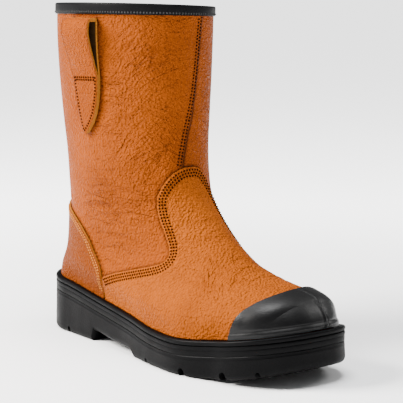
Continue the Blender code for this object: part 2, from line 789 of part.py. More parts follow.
def make_insole(board):
    """Flat board inside the foot of the upper."""

    def inset(x):
        return upper_inset(x) + WALL + INSOLE_CLEARANCE

    depths = (RECESS - JOINT, RECESS - JOINT - INSOLE)
    rings = [sole_ring(inset, below_lip(depth)) for depth in depths]
    return sole_solid("insole", rings, board)


def build():
    for old in list(bpy.data.objects):
        bpy.data.objects.remove(old, do_unlink=True)
    leather = make_material("tan_leather", TAN, 0.55)
    vamp_leather = make_material("vamp_leather", TAN_DEEP, 0.5)
    rubber = make_material("black_rubber", BLACK_RUBBER, 0.45)
    cap_rubber = make_material("cap_rubber", BLACK_RUBBER, 0.35)
    trim = make_material("black_trim", BLACK_TRIM, 0.5)
    board = make_material("insole_board", INSOLE_GREY, 0.9)
    make_outsole(rubber)
    make_midsole(rubber)
    make_insole(board)
    make_upper(leather)
    make_vamp(vamp_leather)
    make_heel_counter(leather)
    make_toe_cap(cap_rubber)
    make_collar_binding(trim)
    make_pull_loop("pull_loop_outer", -1, leather)
    make_pull_loop("pull_loop_inner", 1, leather)


build()
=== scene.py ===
"""Rigger boot for the right foot: leather, stitches, lining and moulded rubber.

Lengths are millimetres in the boot's frame: x runs from the back of the heel to the toe, y from
the outer side of the foot (negative) to the inner side (positive), z up from the floor. placed
turns them into the frame's metres, where the middle of the sole is the origin.
"""
import math
from collections import namedtuple

import bmesh
import bpy
import numpy as np
from mathutils import Matrix, Vector
from mathutils.bvhtree import BVHTree


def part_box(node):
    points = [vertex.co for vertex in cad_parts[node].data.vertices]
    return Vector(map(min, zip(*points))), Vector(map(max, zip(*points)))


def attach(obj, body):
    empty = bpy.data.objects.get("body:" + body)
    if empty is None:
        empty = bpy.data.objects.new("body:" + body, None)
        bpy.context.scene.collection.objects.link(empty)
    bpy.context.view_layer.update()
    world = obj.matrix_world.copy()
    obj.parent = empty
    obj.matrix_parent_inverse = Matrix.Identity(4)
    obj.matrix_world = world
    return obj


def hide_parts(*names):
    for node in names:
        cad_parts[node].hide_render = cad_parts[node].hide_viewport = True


bl_info = {
    "name": "Rigger Boot",
    "version": (1, 0, 0),
    "blender": (4, 5, 0),
    "location": "View3D > Sidebar > Rigger Boot",
    "description": "Builds a leather rigger boot with its stitches, lining and moulded sole",
    "category": "Object",
}

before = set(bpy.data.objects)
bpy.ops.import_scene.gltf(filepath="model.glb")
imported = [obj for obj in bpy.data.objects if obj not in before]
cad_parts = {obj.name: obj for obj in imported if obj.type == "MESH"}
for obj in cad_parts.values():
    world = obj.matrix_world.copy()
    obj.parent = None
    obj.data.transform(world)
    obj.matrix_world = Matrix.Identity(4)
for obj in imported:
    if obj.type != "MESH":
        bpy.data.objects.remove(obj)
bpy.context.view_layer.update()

# Sizes of the last and the sole.
LENGTH = round(1000 * (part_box("outsole")[1].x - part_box("outsole")[0].x), 1)
HEEL_ARC = 40.0
TOE_ARC = 62.0
HEEL_POWER = 2.15
TOE_POWER = 2.35
TOE_SWING = 8.0
SWING_START = 190.0
TOE_SPRING = 15.0
SPRING_START = 216.0
WALL = 2.2
OVERLAY = 1.7
CAP_WALL = 2.6
SEAT = 0.5
LEDGE_CLEARANCE = 0.7
RECESS_CLEARANCE = 0.9
RECESS = 8.0
MIDSOLE = 12.0
JOINT = 0.3
BLEND_START = 2.5
BLEND_HEIGHT = 26.0
PLAN_REACH = 0.35
BASE_EASE = 3.0
SIDE_EASE = 8.0
RIM_TILT = 2.6
BINDING_DROP = 7.0
BINDING_WALL = 1.1
BINDING_TOP = 1.0
STRAP = 1.8
LOOP_BULGE = 8.5
CROWDING = 0.45
CLOSING_REACH = 2.0
LEATHER = 1.3             # the leather of the upper; the lining fills the rest of its wall

HalfWidth = namedtuple("HalfWidth", "x outer inner")
SOLE_HALF_WIDTHS = [
    HalfWidth(40, 39.8, 39.8),
    HalfWidth(70, 42.2, 38.5),
    HalfWidth(95, 44.2, 38.0),
    HalfWidth(140, 50.2, 41.5),
    HalfWidth(180, 58.2, 49.0),
    HalfWidth(215, 60.8, 54.0),
    HalfWidth(249, 52.5, 52.0),
]

Level = namedtuple("Level", "x z")
LIP_LEVELS = [
    Level(0, 49), Level(45, 45), Level(95, 38), Level(140, 33), Level(180, 29),
    Level(215, 28.5), Level(250, 32), Level(280, 37), Level(311, 43),
]
TREAD_LEVELS = [
    Level(0, 0), Level(81, 0), Level(84, 9), Level(90, 9), Level(110, 6.5),
    Level(124, 6.3), Level(143, 4.8), Level(149.5, 0), Level(SPRING_START, 0),
]

Inset = namedtuple("Inset", "x inset")
UPPER_INSETS = [
    Inset(0, 6.5), Inset(95, 6.0), Inset(215, 6.5), Inset(280, 8.3), Inset(LENGTH, 9.0),
]

# Sections of the upper's form: rings on the shaft, planes that turn about the instep, upright
# planes on the foot and a second fan round the toe.
Section = namedtuple(
    "Section", "top_x top_z base_x base_z outer inner widest top_power base_power")
SECTIONS = [
    Section(163.5, 281.5, 8.5, 279, 55.5, 55.5, 0.50, 2.05, 2.05),
    Section(163.0, 261.0, 8.5, 258, 55.5, 55.5, 0.50, 2.05, 2.05),
    Section(162.5, 238.0, 9.5, 233, 54.5, 54.5, 0.50, 2.05, 2.05),
    Section(162.0, 214.0, 11.5, 208, 53.0, 53.0, 0.50, 2.05, 2.05),
    Section(161.5, 191.0, 14.0, 183, 51.0, 51.0, 0.50, 2.05, 2.05),
    Section(161.5, 169.0, 17.0, 158, 49.0, 49.0, 0.50, 2.05, 2.05),
    Section(163.5, 150.0, 19.0, 133, 47.5, 47.5, 0.50, 2.05, 2.10),
    Section(169.0, 133.5, 19.5, 108, 45.5, 45.5, 0.50, 2.00, 2.15),
    Section(179.0, 119.0, 17.0, 86, 44.0, 43.0, 0.52, 2.00, 2.15),
    Section(191.5, 106.5, 13.5, 68, 43.0, 42.0, 0.55, 2.00, 2.20),
    Section(205.0, 96.0, 9.0, 53, 44.0, 42.0, 0.60, 2.00, 2.30),
    Section(218.5, 87.0, 7.2, 37, 48.0, 44.0, 0.65, 2.05, 2.60),
    Section(231.0, 79.5, 20.0, 12, 54.0, 48.0, 0.70, 2.10, 3.20),
    Section(243.5, 74.0, 95.0, 8, 57.0, 51.0, 0.75, 2.20, 3.80),
    Section(255.0, 70.0, 180.0, 8, 56.0, 51.0, 0.78, 2.30, 4.00),
    Section(265.5, 67.0, 254.0, 10, 51.0, 50.0, 0.80, 2.40, 4.00),
    Section(277.0, 64.0, 262.0, 11, 47.0, 47.0, 0.80, 2.40, 4.00),
    Section(288.0, 59.0, 266.0, 11, 44.0, 44.0, 0.80, 2.40, 4.00),
    Section(297.0, 50.5, 268.0, 11, 42.0, 42.0, 0.80, 2.40, 4.00),
    Section(301.5, 40.0, 269.0, 10, 40.0, 40.0, 0.80, 2.40, 4.00),
    Section(302.0, 27.0, 269.0, 8, 40.0, 40.0, 0.80, 2.40, 4.00),
]
LAST_STATION = len(SECTIONS) - 1
RIM_SPACING = SECTIONS[0].top_z - SECTIONS[1].top_z
HEEL_SEARCH = (8.0, 11.5)
TOE_SEARCH = (17.0, LAST_STATION)

# Edges of the overlays: station down the form, degrees round it from the top line.
VampEdge = namedtuple("VampEdge", "station outer inner")
VAMP_EDGES = [
    VampEdge(5.83, 9, 0),
    VampEdge(5.90, 15, 5),
    VampEdge(6.05, 21, 9),
    VampEdge(6.30, 27.5, 12.5),
    VampEdge(6.60, 33, 16),
    VampEdge(7.05, 39, 20),
    VampEdge(7.50, 41.5, 22),
    VampEdge(8.10, 43, 24),
    VampEdge(9.05, 43.5, 25.5),
    VampEdge(9.75, 43.8, 27),
    VampEdge(10.30, 45.0, 30),
    VampEdge(10.65, 47.5, 35),
    VampEdge(10.82, 51.0, 42),
    VampEdge(10.88, 56.0, 52),
    VampEdge(10.91, 63.5, 62),
    VampEdge(10.95, 72.0, 71.5),
    VampEdge(11.04, 80.6, 80.4),
    VampEdge(11.35, 81.3, 81.3),
    VampEdge(11.90, 84.0, 84.0),
    VampEdge(12.00, 120, 120),
]
VAMP_LIP_STATION = 11.35
VAMP_CORNER = 11.04       # the sewn edge runs down to here, under the counter's edge

CounterEdge = namedtuple("CounterEdge", "station angle")
COUNTER_EDGES = [
    CounterEdge(11.95, 85.2),
    CounterEdge(11.35, 82.4),
    CounterEdge(10.80, 82.2),
    CounterEdge(10.30, 85.0),
    CounterEdge(9.70, 90.0),
    CounterEdge(9.10, 95.5),
    CounterEdge(8.50, 101.5),
    CounterEdge(7.90, 110.0),
    CounterEdge(7.45, 121.0),
    CounterEdge(7.05, 138.0),
    CounterEdge(6.80, 158.0),
    CounterEdge(6.70, 180.0),
]
COUNTER_START = 0.04
COUNTER_SPREAD = 1.3

CapEdge = namedtuple("CapEdge", "angle station")
CAP_EDGES = [
    CapEdge(-90, 15.08), CapEdge(-64, 15.10), CapEdge(-51, 15.26), CapEdge(-36, 15.65),
    CapEdge(-22, 15.88), CapEdge(-8, 15.93), CapEdge(6, 15.78), CapEdge(20, 15.50),
    CapEdge(40, 15.15), CapEdge(64, 14.95), CapEdge(90, 14.90),
]

LoopRow = namedtuple("LoopRow", "station front back bulge")
LOOP_ROWS = [
    LoopRow(0.48, 75.2, 96.6, 0.30),
    LoopRow(0.56, 74.9, 96.8, 0.75),
    LoopRow(0.70, 74.8, 96.8, 0.95),
    LoopRow(0.95, 74.8, 96.5, 1.00),
    LoopRow(1.25, 74.8, 96.0, 0.84),
    LoopRow(1.60, 74.7, 95.6, 0.60),
    LoopRow(2.00, 74.5, 95.5, 0.29),
    LoopRow(2.30, 74.2, 95.5, 0.08),
    LoopRow(2.50, 74.0, 95.3, 0.00),
    LoopRow(2.90, 74.6, 94.6, 0.00),
    LoopRow(3.30, 76.0, 93.8, 0.00),
    LoopRow(3.70, 78.6, 93.0, 0.00),
    LoopRow(4.00, 81.8, 92.1, 0.00),
    LoopRow(4.22, 85.2, 91.2, 0.00),
    LoopRow(4.38, 88.2, 90.2, 0.00),
]
EYE_TOP = 0.60
EYE_BOTTOM = 2.36
EYE_FLARE = 6.0
TONGUE_START = 2.46       # the strap is sewn to the shaft from here down

Notch = namedtuple("Notch", "x width height outer inner")
NOTCHES = [
    Notch(45.0, 3.0, 6.0, 16.0, 16.0),
    Notch(172.5, 2.6, 5.0, 18.0, 18.0),
    Notch(220.0, 5.2, 6.5, 130.0, 0.0),
    Notch(258.8, 5.2, 6.5, 130.0, 0.0),
    Notch(287.0, 2.6, 5.0, 14.0, 14.0),
]
CUT_MARGIN = 10.0

# Soft troughs that wear has folded into the leather, each a line of stations and degrees.
Crease = namedtuple("Crease", "stations angles depth width")
SHAFT_CREASES = [
    Crease((6.72, 6.68, 6.60), (-112, -74, -57), 0.55, 3.2),
    Crease((7.00, 7.16, 7.34), (-118, -78, -46), 0.80, 3.8),
    Crease((7.42, 7.66, 7.62), (-104, -76, -52), 0.60, 3.2),
    Crease((8.10, 8.90, 9.80), (-100, -72, -53), 0.45, 5.0),
    Crease((8.60, 9.50, 10.30), (-92, -72, -56), 0.35, 5.5),
    Crease((6.20, 5.40, 4.90), (-60, -50, -43), 0.50, 3.4),
    Crease((4.30, 3.80, 3.20), (-74, -50, -34), 0.30, 4.5),
    Crease((2.90, 2.78, 3.00), (-76, -62, -50), 0.28, 3.6),
    Crease((3.50, 3.36, 3.50), (-78, -64, -52), 0.28, 3.6),
    Crease((5.30, 4.70, 4.20), (-30, -20, -14), 0.32, 4.2),
    Crease((6.80, 6.72, 6.66), (116, 78, 50), 0.55, 3.4),
    Crease((7.10, 7.20, 7.40), (112, 80, 44), 0.75, 3.8),
    Crease((7.50, 7.70, 7.66), (106, 74, 48), 0.55, 3.4),
    Crease((8.20, 9.00, 9.90), (98, 70, 50), 0.45, 5.0),
    Crease((6.10, 5.50, 5.00), (64, 52, 40), 0.45, 3.6),
    Crease((4.40, 3.90, 3.30), (76, 54, 36), 0.30, 4.5),
    Crease((6.30, 6.22, 6.30), (150, 180, 210), 0.50, 4.0),
    Crease((5.60, 5.50, 5.60), (148, 178, 206), 0.40, 4.4),
]
VAMP_CREASES = [
    Crease((10.50, 11.50, 12.35), (-27, -20, -14), 0.40, 4.0),
    Crease((11.90, 13.20, 14.60), (-26, -18, -9), 0.45, 3.6),
    Crease((11.20, 12.15, 13.60), (-3, 12, 19), 0.40, 3.8),
    Crease((12.60, 13.60, 14.60), (-36, -28, -18), 0.32, 4.0),
    Crease((12.40, 12.80, 13.40), (-6, 14, 30), 0.30, 3.4),
    Crease((13.20, 13.60, 14.00), (-4, 18, 36), 0.32, 3.4),
    Crease((11.60, 12.40, 13.00), (-44, -38, -30), 0.28, 4.6),
    Crease((8.60, 8.70, 8.60), (-34, 0, 16), 0.30, 6.0),
    Crease((9.60, 9.75, 9.60), (-32, -4, 18), 0.28, 6.0),
]

# Where the grain is drawn into fine wrinkles, and which way they run on the boot's side.
Zone = namedtuple("Zone", "kind station angle reach strength")
ZONES = [
    Zone("rising", 1.9, -40, 34, 1.0), Zone("rising", 3.4, -48, 26, 0.8),
    Zone("rising", 5.2, -52, 22, 1.0), Zone("rising", 3.6, 40, 34, 0.9),
    Zone("rising", 10.2, -40, 20, 0.6),
    Zone("level", 2.9, -68, 20, 1.0), Zone("level", 3.8, -70, 20, 0.9),
    Zone("level", 7.1, -85, 30, 1.0), Zone("level", 7.3, -55, 22, 1.0),
    Zone("level", 8.6, -80, 26, 0.7), Zone("level", 7.1, 80, 40, 1.0),
    Zone("level", 6.4, 180, 34, 0.8),
    Zone("falling", 5.0, -24, 16, 1.0), Zone("falling", 4.0, -24, 14, 0.7),
    Zone("falling", 12.6, -18, 30, 1.0), Zone("falling", 12.6, 22, 26, 0.8),
    Zone("falling", 5.2, 50, 24, 0.8),
]
ZONE_KINDS = ("rising", "level", "falling")

SEAM_STATIONS = (-0.2, 0.5, 3.6, 4.5, 5.65, 6.4)
SEAM_ANGLES = (10.5, 9.0, 0.5, -4.5, -10.5, -14.0)
PARTING_STATIONS = (15.72, 16.8, 17.8, 18.6, 19.4)
PARTING_ANGLES = (5.0, 6.5, 7.0, 5.0, 0.0)

# The photographer's camera, and lamps round the boot: degrees round and above it.
CAMERA_PLACE = (0.9885, -0.8255, 0.3149)
CAMERA_AZIMUTH = 49.61
CAMERA_PITCH = 8.44
CAMERA_ROLL = 0.26
CAMERA_LENS = 142.46
CAMERA_SENSOR = 36.0
Lamp = namedtuple("Lamp", "name azimuth elevation distance size watts colour")
LAMPS = [
    Lamp("key_softbox", -34, 36, 1.5, 0.8, 100, (1.0, 0.97, 0.93)),
    Lamp("rim_softbox", 160, 34, 1.6, 0.6, 9, (1.0, 0.99, 0.97)),
    Lamp("top_softbox", 60, 84, 1.6, 1.0, 54, (1.0, 1.0, 1.0)),
]
LAMP_AIM = (0.0, 0.0, 0.12)
WORLD_LIGHT = 0.32
LEATHER_GLOSS = (1.0, 0.52, 0.18, 1.0)
SHADE_COLOUR = (0.020, 0.004, 0.001)
DUST_COLOUR = (0.012, 0.0115, 0.011)
BLACK_THREAD = (0.030, 0.030, 0.030)
WHITE = (1.0, 1.0, 1.0, 1.0)
PAPER = (0.94, 0.945, 0.955)
FLOOR_HALF = 30.0
GLOW_START = 0.24         # metres from the boot at which the paper begins to glow by itself
GLOW_END = 0.9
GLOW = 2.3

# Points of the fine grids: rows or steps first, columns last.
UPPER_GRID = (124, 98, 230)    # rings of the shaft, arches of the foot, columns
LINING_GRID = (90, 60, 110)
VAMP_GRID = (70, 150)
COUNTER_GRID = (56, 40)        # steps round the heel, points up it
CAP_GRID = (90, 150)
COLLAR_COLUMNS = 240
STRAP_COLUMNS = 16
END_STEPS = 30                 # round each end of the sole
MIDDLE_STEPS = 70
VAMP_STEP = 0.07
VAMP_EDGE_STEP = 0.05
VAMP_TURN = (10.6, 11.0)       # stations between which the vamp's edge turns back

# Fine relief and dark bands beside a line: height, where it is highest, and how fast it fades.
Band = namedtuple("Band", "height at width")
VAMP_HEM = Band(0.45, 0.0, 1.3)
COUNTER_HEM = Band(0.4, 0.0, 1.2)
CAP_BEVEL = Band(1.5, 0.0, 1.6)
CAP_BEAD = Band(0.5, 3.4, 1.3)
CAP_GROOVE = Band(0.4, 6.2, 0.9)
PARTING_RIDGE = Band(0.5, 0.0, 0.9)
PARTING_VALLEY = Band(0.35, 2.2, 0.9)
SEAM_SHADE = Band(1.0, 0.0, 1.3)
EDGE_SHADE = Band(1.0, 0.0, 1.9)
STRAP_SHADE = Band(0.8, 0.0, 2.5)
COUNTER_SHADE = Band(1.0, 0.0, 2.2)
# Painted shade along the front and back edges of each strap.
STRAP_EDGE_SHADE = 0.6
STRAP_WRINKLES = 0.3
STRAP_BOW = 0.5
COUNTER_TONE = 0.62
LAP_SOFTNESS = 0.9             # the lap's step rises over this width
LAP_REACH = 9.0                # and thins out from here on
LAP_FADE = 60.0                # square millimetres
LAP_END = (7.0, 0.5)           # stations: where the lap ends under the vamp, and over how far
SEAM_SHADE_END = (6.2, 0.3)
CALM_RIM = 0.4                 # stations without folds at the collar
CALM_FOOT = (11.5, 1.5)        # and where the folds of the foot fade out
LINING_GAP = 0.15
FLEECE_WAVE = 0.25

# Stitches: rows by their distance from the edge.
THREAD_SHARE = 0.68            # of the pitch is thread
SEAM_SEWN = (0.42, 5.75)       # stations from which to which the seam is sewn
VAMP_ROWS = (2.2, 4.7, 7.2)
SEAM_ROWS = (2.2, 4.8)
COUNTER_ROWS = (1.9, 4.3)
COUNTER_STAGGER = 1.6
COUNTER_THREAD = 0.62          # of the other threads' width
LOOP_ROW = 2.4
LOOP_CROSS_STEP = 0.09
BINDING_ROW = 1.7


class BootSizes(bpy.types.PropertyGroup):
    """Sizes of the boot's fine detail."""

    crease_depth: bpy.props.FloatProperty(
        name="Crease depth", description="How deep the folds of wear are", default=1.0,
        min=0.0, max=2.0)
    grain: bpy.props.FloatProperty(
        name="Grain", description="Width of one pebble of the leather's grain",
        default=0.0018, unit="LENGTH")
    seam_step: bpy.props.FloatProperty(
        name="Lap step", description="Step at the lap seam down the shaft",
        default=0.0011, unit="LENGTH")
    stitch_pitch: bpy.props.FloatProperty(
        name="Stitch pitch", description="From one stitch to the next", default=0.0026,
        unit="LENGTH")
    thread: bpy.props.FloatProperty(
        name="Thread", description="Thickness of the sewing thread", default=0.0018,
        unit="LENGTH")


class BootColours(bpy.types.PropertyGroup):
    """Colours of the boot's materials."""

    tan: bpy.props.FloatVectorProperty(
        name="Tan", description="Leather of the shaft", subtype="COLOR",
        default=(0.215, 0.044, 0.0035))
    # Deep tan gives the leather's darker patches and also the painted shade in its creases and wrinkle
    # valleys.
    tan_deep: bpy.props.FloatVectorProperty(
        name="Deep tan", description="Leather where it is rubbed with oil", subtype="COLOR",
        default=(0.080, 0.014, 0.0012))
    vamp: bpy.props.FloatVectorProperty(
        name="Vamp", description="Leather of the vamp", subtype="COLOR",
        default=(0.250, 0.056, 0.0038))
    cut_edge: bpy.props.FloatVectorProperty(
        name="Cut edge", description="Raw edge of the leather", subtype="COLOR",
        default=(0.30, 0.105, 0.010))
    suede: bpy.props.FloatVectorProperty(
        name="Suede", description="Rough back of the pull loops", subtype="COLOR",
        default=(0.035, 0.016, 0.004))
    thread: bpy.props.FloatVectorProperty(
        name="Dark thread", description="Thread of the vamp, seam and loops", subtype="COLOR",
        default=(0.010, 0.0025, 0.001))
    pale_thread: bpy.props.FloatVectorProperty(
        name="Pale thread", description="Thread of the heel counter", subtype="COLOR",
        default=(0.40, 0.15, 0.030))
    rubber: bpy.props.FloatVectorProperty(
        name="Rubber", description="Sole and toe cap", subtype="COLOR",
        default=(0.0015, 0.0015, 0.0017))
    trim: bpy.props.FloatVectorProperty(
        name="Trim", description="Binding of the collar", subtype="COLOR",
        default=(0.0030, 0.0030, 0.0034))
    fleece: bpy.props.FloatVectorProperty(
        name="Fleece", description="Lining of the boot", subtype="COLOR",
        default=(0.70, 0.62, 0.48))


def smooth(knots, values, x):
    """Smooth curve through a short table."""
    knots = np.asarray(knots, float)
    values = np.asarray(values, float)
    x = np.clip(np.asarray(x, float), knots[0], knots[-1])
    k = np.clip(np.searchsorted(knots, x, side="right") - 1, 0, len(knots) - 2)
    slope = np.gradient(values, knots)
    span = knots[k + 1] - knots[k]
    t = (x - knots[k]) / span
    rise = t * t * (3 - 2 * t)
    lead = t * (1 - t) ** 2 * span * slope[k]
    tail = t * t * (t - 1) * span * slope[k + 1]
    return values[k] * (1 - rise) + values[k + 1] * rise + lead + tail


def column(table, name):
    return [getattr(row, name) for row in table]


SECTION_COLUMNS = {name: np.array(column(SECTIONS, name)) for name in Section._fields}


def lip_level(x):
    return smooth(column(LIP_LEVELS, "x"), column(LIP_LEVELS, "z"), x)


def tread_level(x):
    level = np.interp(x, column(TREAD_LEVELS, "x"), column(TREAD_LEVELS, "z"))
    spring = np.clip((x - SPRING_START) / (LENGTH - SPRING_START), 0, 1)
    return level + TOE_SPRING * spring ** 2


def upper_inset(x):
    return smooth(column(UPPER_INSETS, "x"), column(UPPER_INSETS, "inset"), x)


def toe_swing(x):
    return TOE_SWING * np.clip((x - SWING_START) / (LENGTH - SWING_START), 0, 1) ** 2


def sole_edge(x, side, inset):
    """y of the sole's outline at x, moved in by inset; side is -1 outer, +1 inner."""
    x = np.asarray(x, float)
    name = "outer" if side < 0 else "inner"
    toe_start = LENGTH - TOE_ARC
    knots = column(SOLE_HALF_WIDTHS, "x")
    half = smooth(knots, column(SOLE_HALF_WIDTHS, name), x) - inset
    back = np.clip((HEEL_ARC - x) / (HEEL_ARC - inset), 0, 1)
    front = np.clip((x - toe_start) / (TOE_ARC - inset), 0, 1)
    heel = (1 - back ** HEEL_POWER) ** (1 / HEEL_POWER)
    toe = (1 - front ** TOE_POWER) ** (1 / TOE_POWER)
    start = toe_swing(toe_start)
    in_toe = toe_swing(x) + (side * half - start) * toe
    return np.where(x > toe_start, in_toe, side * half * heel)


def blend_to_sole(x, z):
    fade = np.clip(1 - (z - lip_level(x) - BLEND_START) / BLEND_HEIGHT, 0, 1)
    return fade * fade * (3 - 2 * fade)


def x_on_outline(x, share, section):
    """x at which the sole's outline is read, so that a section's own end meets its end."""
    heel_lean = section["base_x"] - upper_inset(0.0)
    at_base = np.clip(1 - (1 - share) / PLAN_REACH, 0, 1)
    base_mix = np.minimum(1, BASE_EASE * blend_to_sole(section["base_x"], section["base_z"]))
    toe_lean = LENGTH - upper_inset(LENGTH) - section["top_x"]
    at_top = np.clip(1 - share / PLAN_REACH, 0, 1)
    top_mix = np.minimum(1, BASE_EASE * blend_to_sole(section["top_x"], section["top_z"]))
    at_heel = section["base_x"] < HEEL_ARC
    return x - np.where(at_heel, heel_lean * at_base * base_mix, 0) + toe_lean * at_top * top_mix


def form(station, angle):
    """Point of the upper's outer form; angle 0 is the top line, negative the outer side."""
    station, angle = np.broadcast_arrays(np.asarray(station, float), np.asarray(angle, float))
    angle = (angle + math.pi) % (2 * math.pi) - math.pi
    index = np.arange(len(SECTIONS))
    value = {name: smooth(index, values, station) for name, values in SECTION_COLUMNS.items()}
    turn = np.abs(angle)
    power = np.where(turn <= math.pi / 2, value["top_power"], value["base_power"])
    across = np.clip(np.sin(turn), 0, 1) ** (2 / power)
    along = np.abs(np.cos(turn)) ** (2 / power)
    above = value["widest"] * (1 - along)
    below = value["widest"] + (1 - value["widest"]) * along
    share = np.where(turn <= math.pi / 2, above, below)
    x = value["top_x"] + (value["base_x"] - value["top_x"]) * share
    z = value["top_z"] + (value["base_z"] - value["top_z"]) * share
    half = np.where(angle < 0, -value["outer"], value["inner"]) * across
    plan_x = x_on_outline(x, share, value)
    inset = upper_inset(plan_x)
    outline = np.where(angle < 0, sole_edge(plan_x, -1, inset), sole_edge(plan_x, 1, inset))
    edge = (outline - toe_swing(plan_x)) * np.minimum(1, SIDE_EASE * across)
    mix = blend_to_sole(x, z)
    y = toe_swing(x) + half * (1 - mix) + edge * mix
    rim = -RIM_TILT * np.sin(angle) * np.clip(1 - station, 0, 1)
    return np.stack([x, y, z + rim], axis=-1)


def normals(station, angle):
    step = 0.02
    turn = math.radians(1.0)
    ahead = np.clip(np.asarray(station, float) + step, 0, LAST_STATION)
    behind = np.clip(np.asarray(station, float) - step, 0, LAST_STATION)
    down = form(ahead, angle) - form(behind, angle)
    around = form(station, angle + turn) - form(station, angle - turn)
    normal = np.cross(down, around)
    return normal / np.maximum(np.linalg.norm(normal, axis=-1, keepdims=True), 1e-9)


def surface(station, angle, offset=0.0):
    """The form moved along its normal: positive is outward."""
    station, angle = np.broadcast_arrays(np.asarray(station, float), np.asarray(angle, float))
    offset = np.broadcast_to(offset, station.shape)[..., None]
    return form(station, angle) + offset * normals(station, angle)


def foot_line(x):
    return lip_level(x) - RECESS + SEAT


def wall_line(x):
    return lip_level(x) + BLEND_START / 2


def ledge_line(x):
    return lip_level(x) + LEDGE_CLEARANCE


def bisect(test, low, high):
    """Array root of a falling function."""
    low = np.array(low, float)
    high = np.array(high, float)
    for _ in range(26):
        middle = (low + high) / 2
        over = test(middle) > 0
        low = np.where(over, middle, low)
        high = np.where(over, high, middle)
    return (low + high) / 2


def foot_angle(station, side, offset, line):
    """Angle at which a section of the form comes down to a level line."""
    station = np.asarray(station, float)

    def height(angle):
        point = surface(station, side * angle, offset)
        return point[..., 2] - line(point[..., 0])

    return bisect(height, np.zeros(station.shape), np.full(station.shape, math.pi))


def end_station(angle, low, high, offset, line):
    """Station at which the form's back or tip comes down to a level line."""

    def height(station):
        point = surface(station, np.array(angle), offset)
        return point[..., 2] - line(point[..., 0])

    return float(bisect(height, low, high))


def heel_station(offset, line):
    return end_station(math.pi, *HEEL_SEARCH, offset, line)


def toe_station(offset, line):
    return end_station(0.0, *TOE_SEARCH, offset, line)


def spread_angles(outer, inner, count):
    """Steps from the outer side to the top line and on to the inner side."""
    share = np.linspace(0, 1, count // 2 + 1)
    sides = []
    for limit in (outer, inner):
        crowd = CROWDING * np.clip(2 * limit / math.pi - 1, 0, 1)
        sides.append(limit * (share - crowd * np.sin(2 * math.pi * share) / (2 * math.pi)))
    return np.concatenate([-sides[0][::-1], sides[1][1:]])


def arch_stations(start, end, count, offset, line):
    """Stations from start to end, evenly spread along the top line and the foot together."""
    fine = np.linspace(start, end, 200)
    foot = surface(fine, -foot_angle(fine, -1, offset, line), offset)
    top = surface(fine, np.zeros(200), offset)
    steps = np.linalg.norm(np.diff(foot, axis=0), axis=1)
    steps += np.linalg.norm(np.diff(top, axis=0), axis=1)
    travel = np.concatenate([[0], np.cumsum(steps)])
    return np.interp(np.linspace(0, travel[-1], count), travel, fine)


def last_grid(offset, rings_count, arches_count, columns):
    """Stations and angles of the upper's points: rings down to the heel, then arches."""
    heel = heel_station(offset, foot_line)
    toe = toe_station(offset, foot_line)
    rings = np.linspace(0, heel, rings_count)
    arches = arch_stations(heel, toe, arches_count, offset, foot_line)[1:-1]
    foot = [foot_angle(arches, side, offset, foot_line) for side in (-1, 1)]
    past_heel = (arches - heel) / CLOSING_REACH
    closing = math.pi * (1 - past_heel / 2)
    ledge = []
    for side, low in zip((-1, 1), foot):
        high = foot_angle(arches, side, offset, wall_line)
        ledge.append(low + (high - low) * np.clip(BASE_EASE * past_heel, 0, 1))
    ring = spread_angles(math.pi, math.pi, columns)
    angles = [np.concatenate([[-math.pi], ring, [math.pi]]) for _ in rings]
    for i, limit in enumerate(closing):
        low, high = ledge[0][i], ledge[1][i]
        spread = spread_angles(max(low, limit), max(high, limit), columns)
        spread = np.clip(spread, -low, high)
        angles.append(np.concatenate([[-foot[0][i]], spread, [foot[1][i]]]))
    angles.append(np.zeros(columns + 3))
    stations = np.concatenate([rings, arches, [toe]])
    return np.repeat(stations[:, None], columns + 3, axis=1), np.array(angles), len(rings) - 1


def placed(points):
    """Millimetres of the boot as metres of the frame."""
    return (np.asarray(points, float) - np.array([LENGTH / 2, 0, 0])) * 0.001


class Mesh:
    """Points, faces and material numbers gathered grid by grid."""

    def __init__(self):
        self.points = []
        self.faces = []
        self.finishes = []

    def grid(self, rows, finish=0):
        rows = np.asarray(rows, float)
        count, width = rows.shape[:2]
        first = len(self.points)
        self.points.extend(rows.reshape(-1, 3))
        number = first + np.arange(count * width).reshape(count, width)
        for i in range(count - 1):
            self.strip(number[i], number[i + 1], finish)
        return number

    def strip(self, one, other, finish=0):
        for j in range(len(one) - 1):
            self.faces.append((int(one[j]), int(one[j + 1]), int(other[j + 1]), int(other[j])))
            self.finishes.append(finish)


def wall(outside, inside, edge_finish=0, open_from=0):
    """Mesh between two grids, closed along their edges, and the outer points' numbers."""
    mesh = Mesh()
    outer = mesh.grid(outside)
    inner = mesh.grid(inside)
    mesh.strip(outer[0], inner[0], edge_finish)
    mesh.strip(outer[-1], inner[-1], edge_finish)
    for edge in (0, -1):
        mesh.strip(outer[open_from:, edge], inner[open_from:, edge], edge_finish)
    return mesh, outer


def new_piece(name, mesh, materials, values=None, sharp=40):
    """Object from gathered points in millimetres; values holds numbers for each point by name."""
    data = bpy.data.meshes.new(name)
    data.from_pydata(placed(mesh.points).tolist(), [], mesh.faces)
    data.polygons.foreach_set("material_index", mesh.finishes)
    for key, numbers in (values or {}).items():
        attribute = data.attributes.new(key, "FLOAT", "POINT")
        attribute.data.foreach_set("value", np.asarray(numbers, np.float32).ravel())
    for material in materials:
        data.materials.append(material)
    shape = bmesh.new()
    shape.from_mesh(data)
    bmesh.ops.remove_doubles(shape, verts=shape.verts, dist=2e-6)
    bmesh.ops.dissolve_degenerate(shape, edges=shape.edges, dist=1e-6)
    bmesh.ops.recalc_face_normals(shape, faces=shape.faces)
    shape.to_mesh(data)
    shape.free()
    data.shade_smooth()
    data.set_sharp_from_angle(angle=math.radians(sharp))
    made = bpy.data.objects.new(name, data)
    bpy.context.scene.collection.objects.link(made)
    return made


def dress(piece, nodes):
    """The piece rides on the boot and stands for its nodes."""
    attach(piece, "root")
    if nodes:
        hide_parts(*nodes)
    return piece


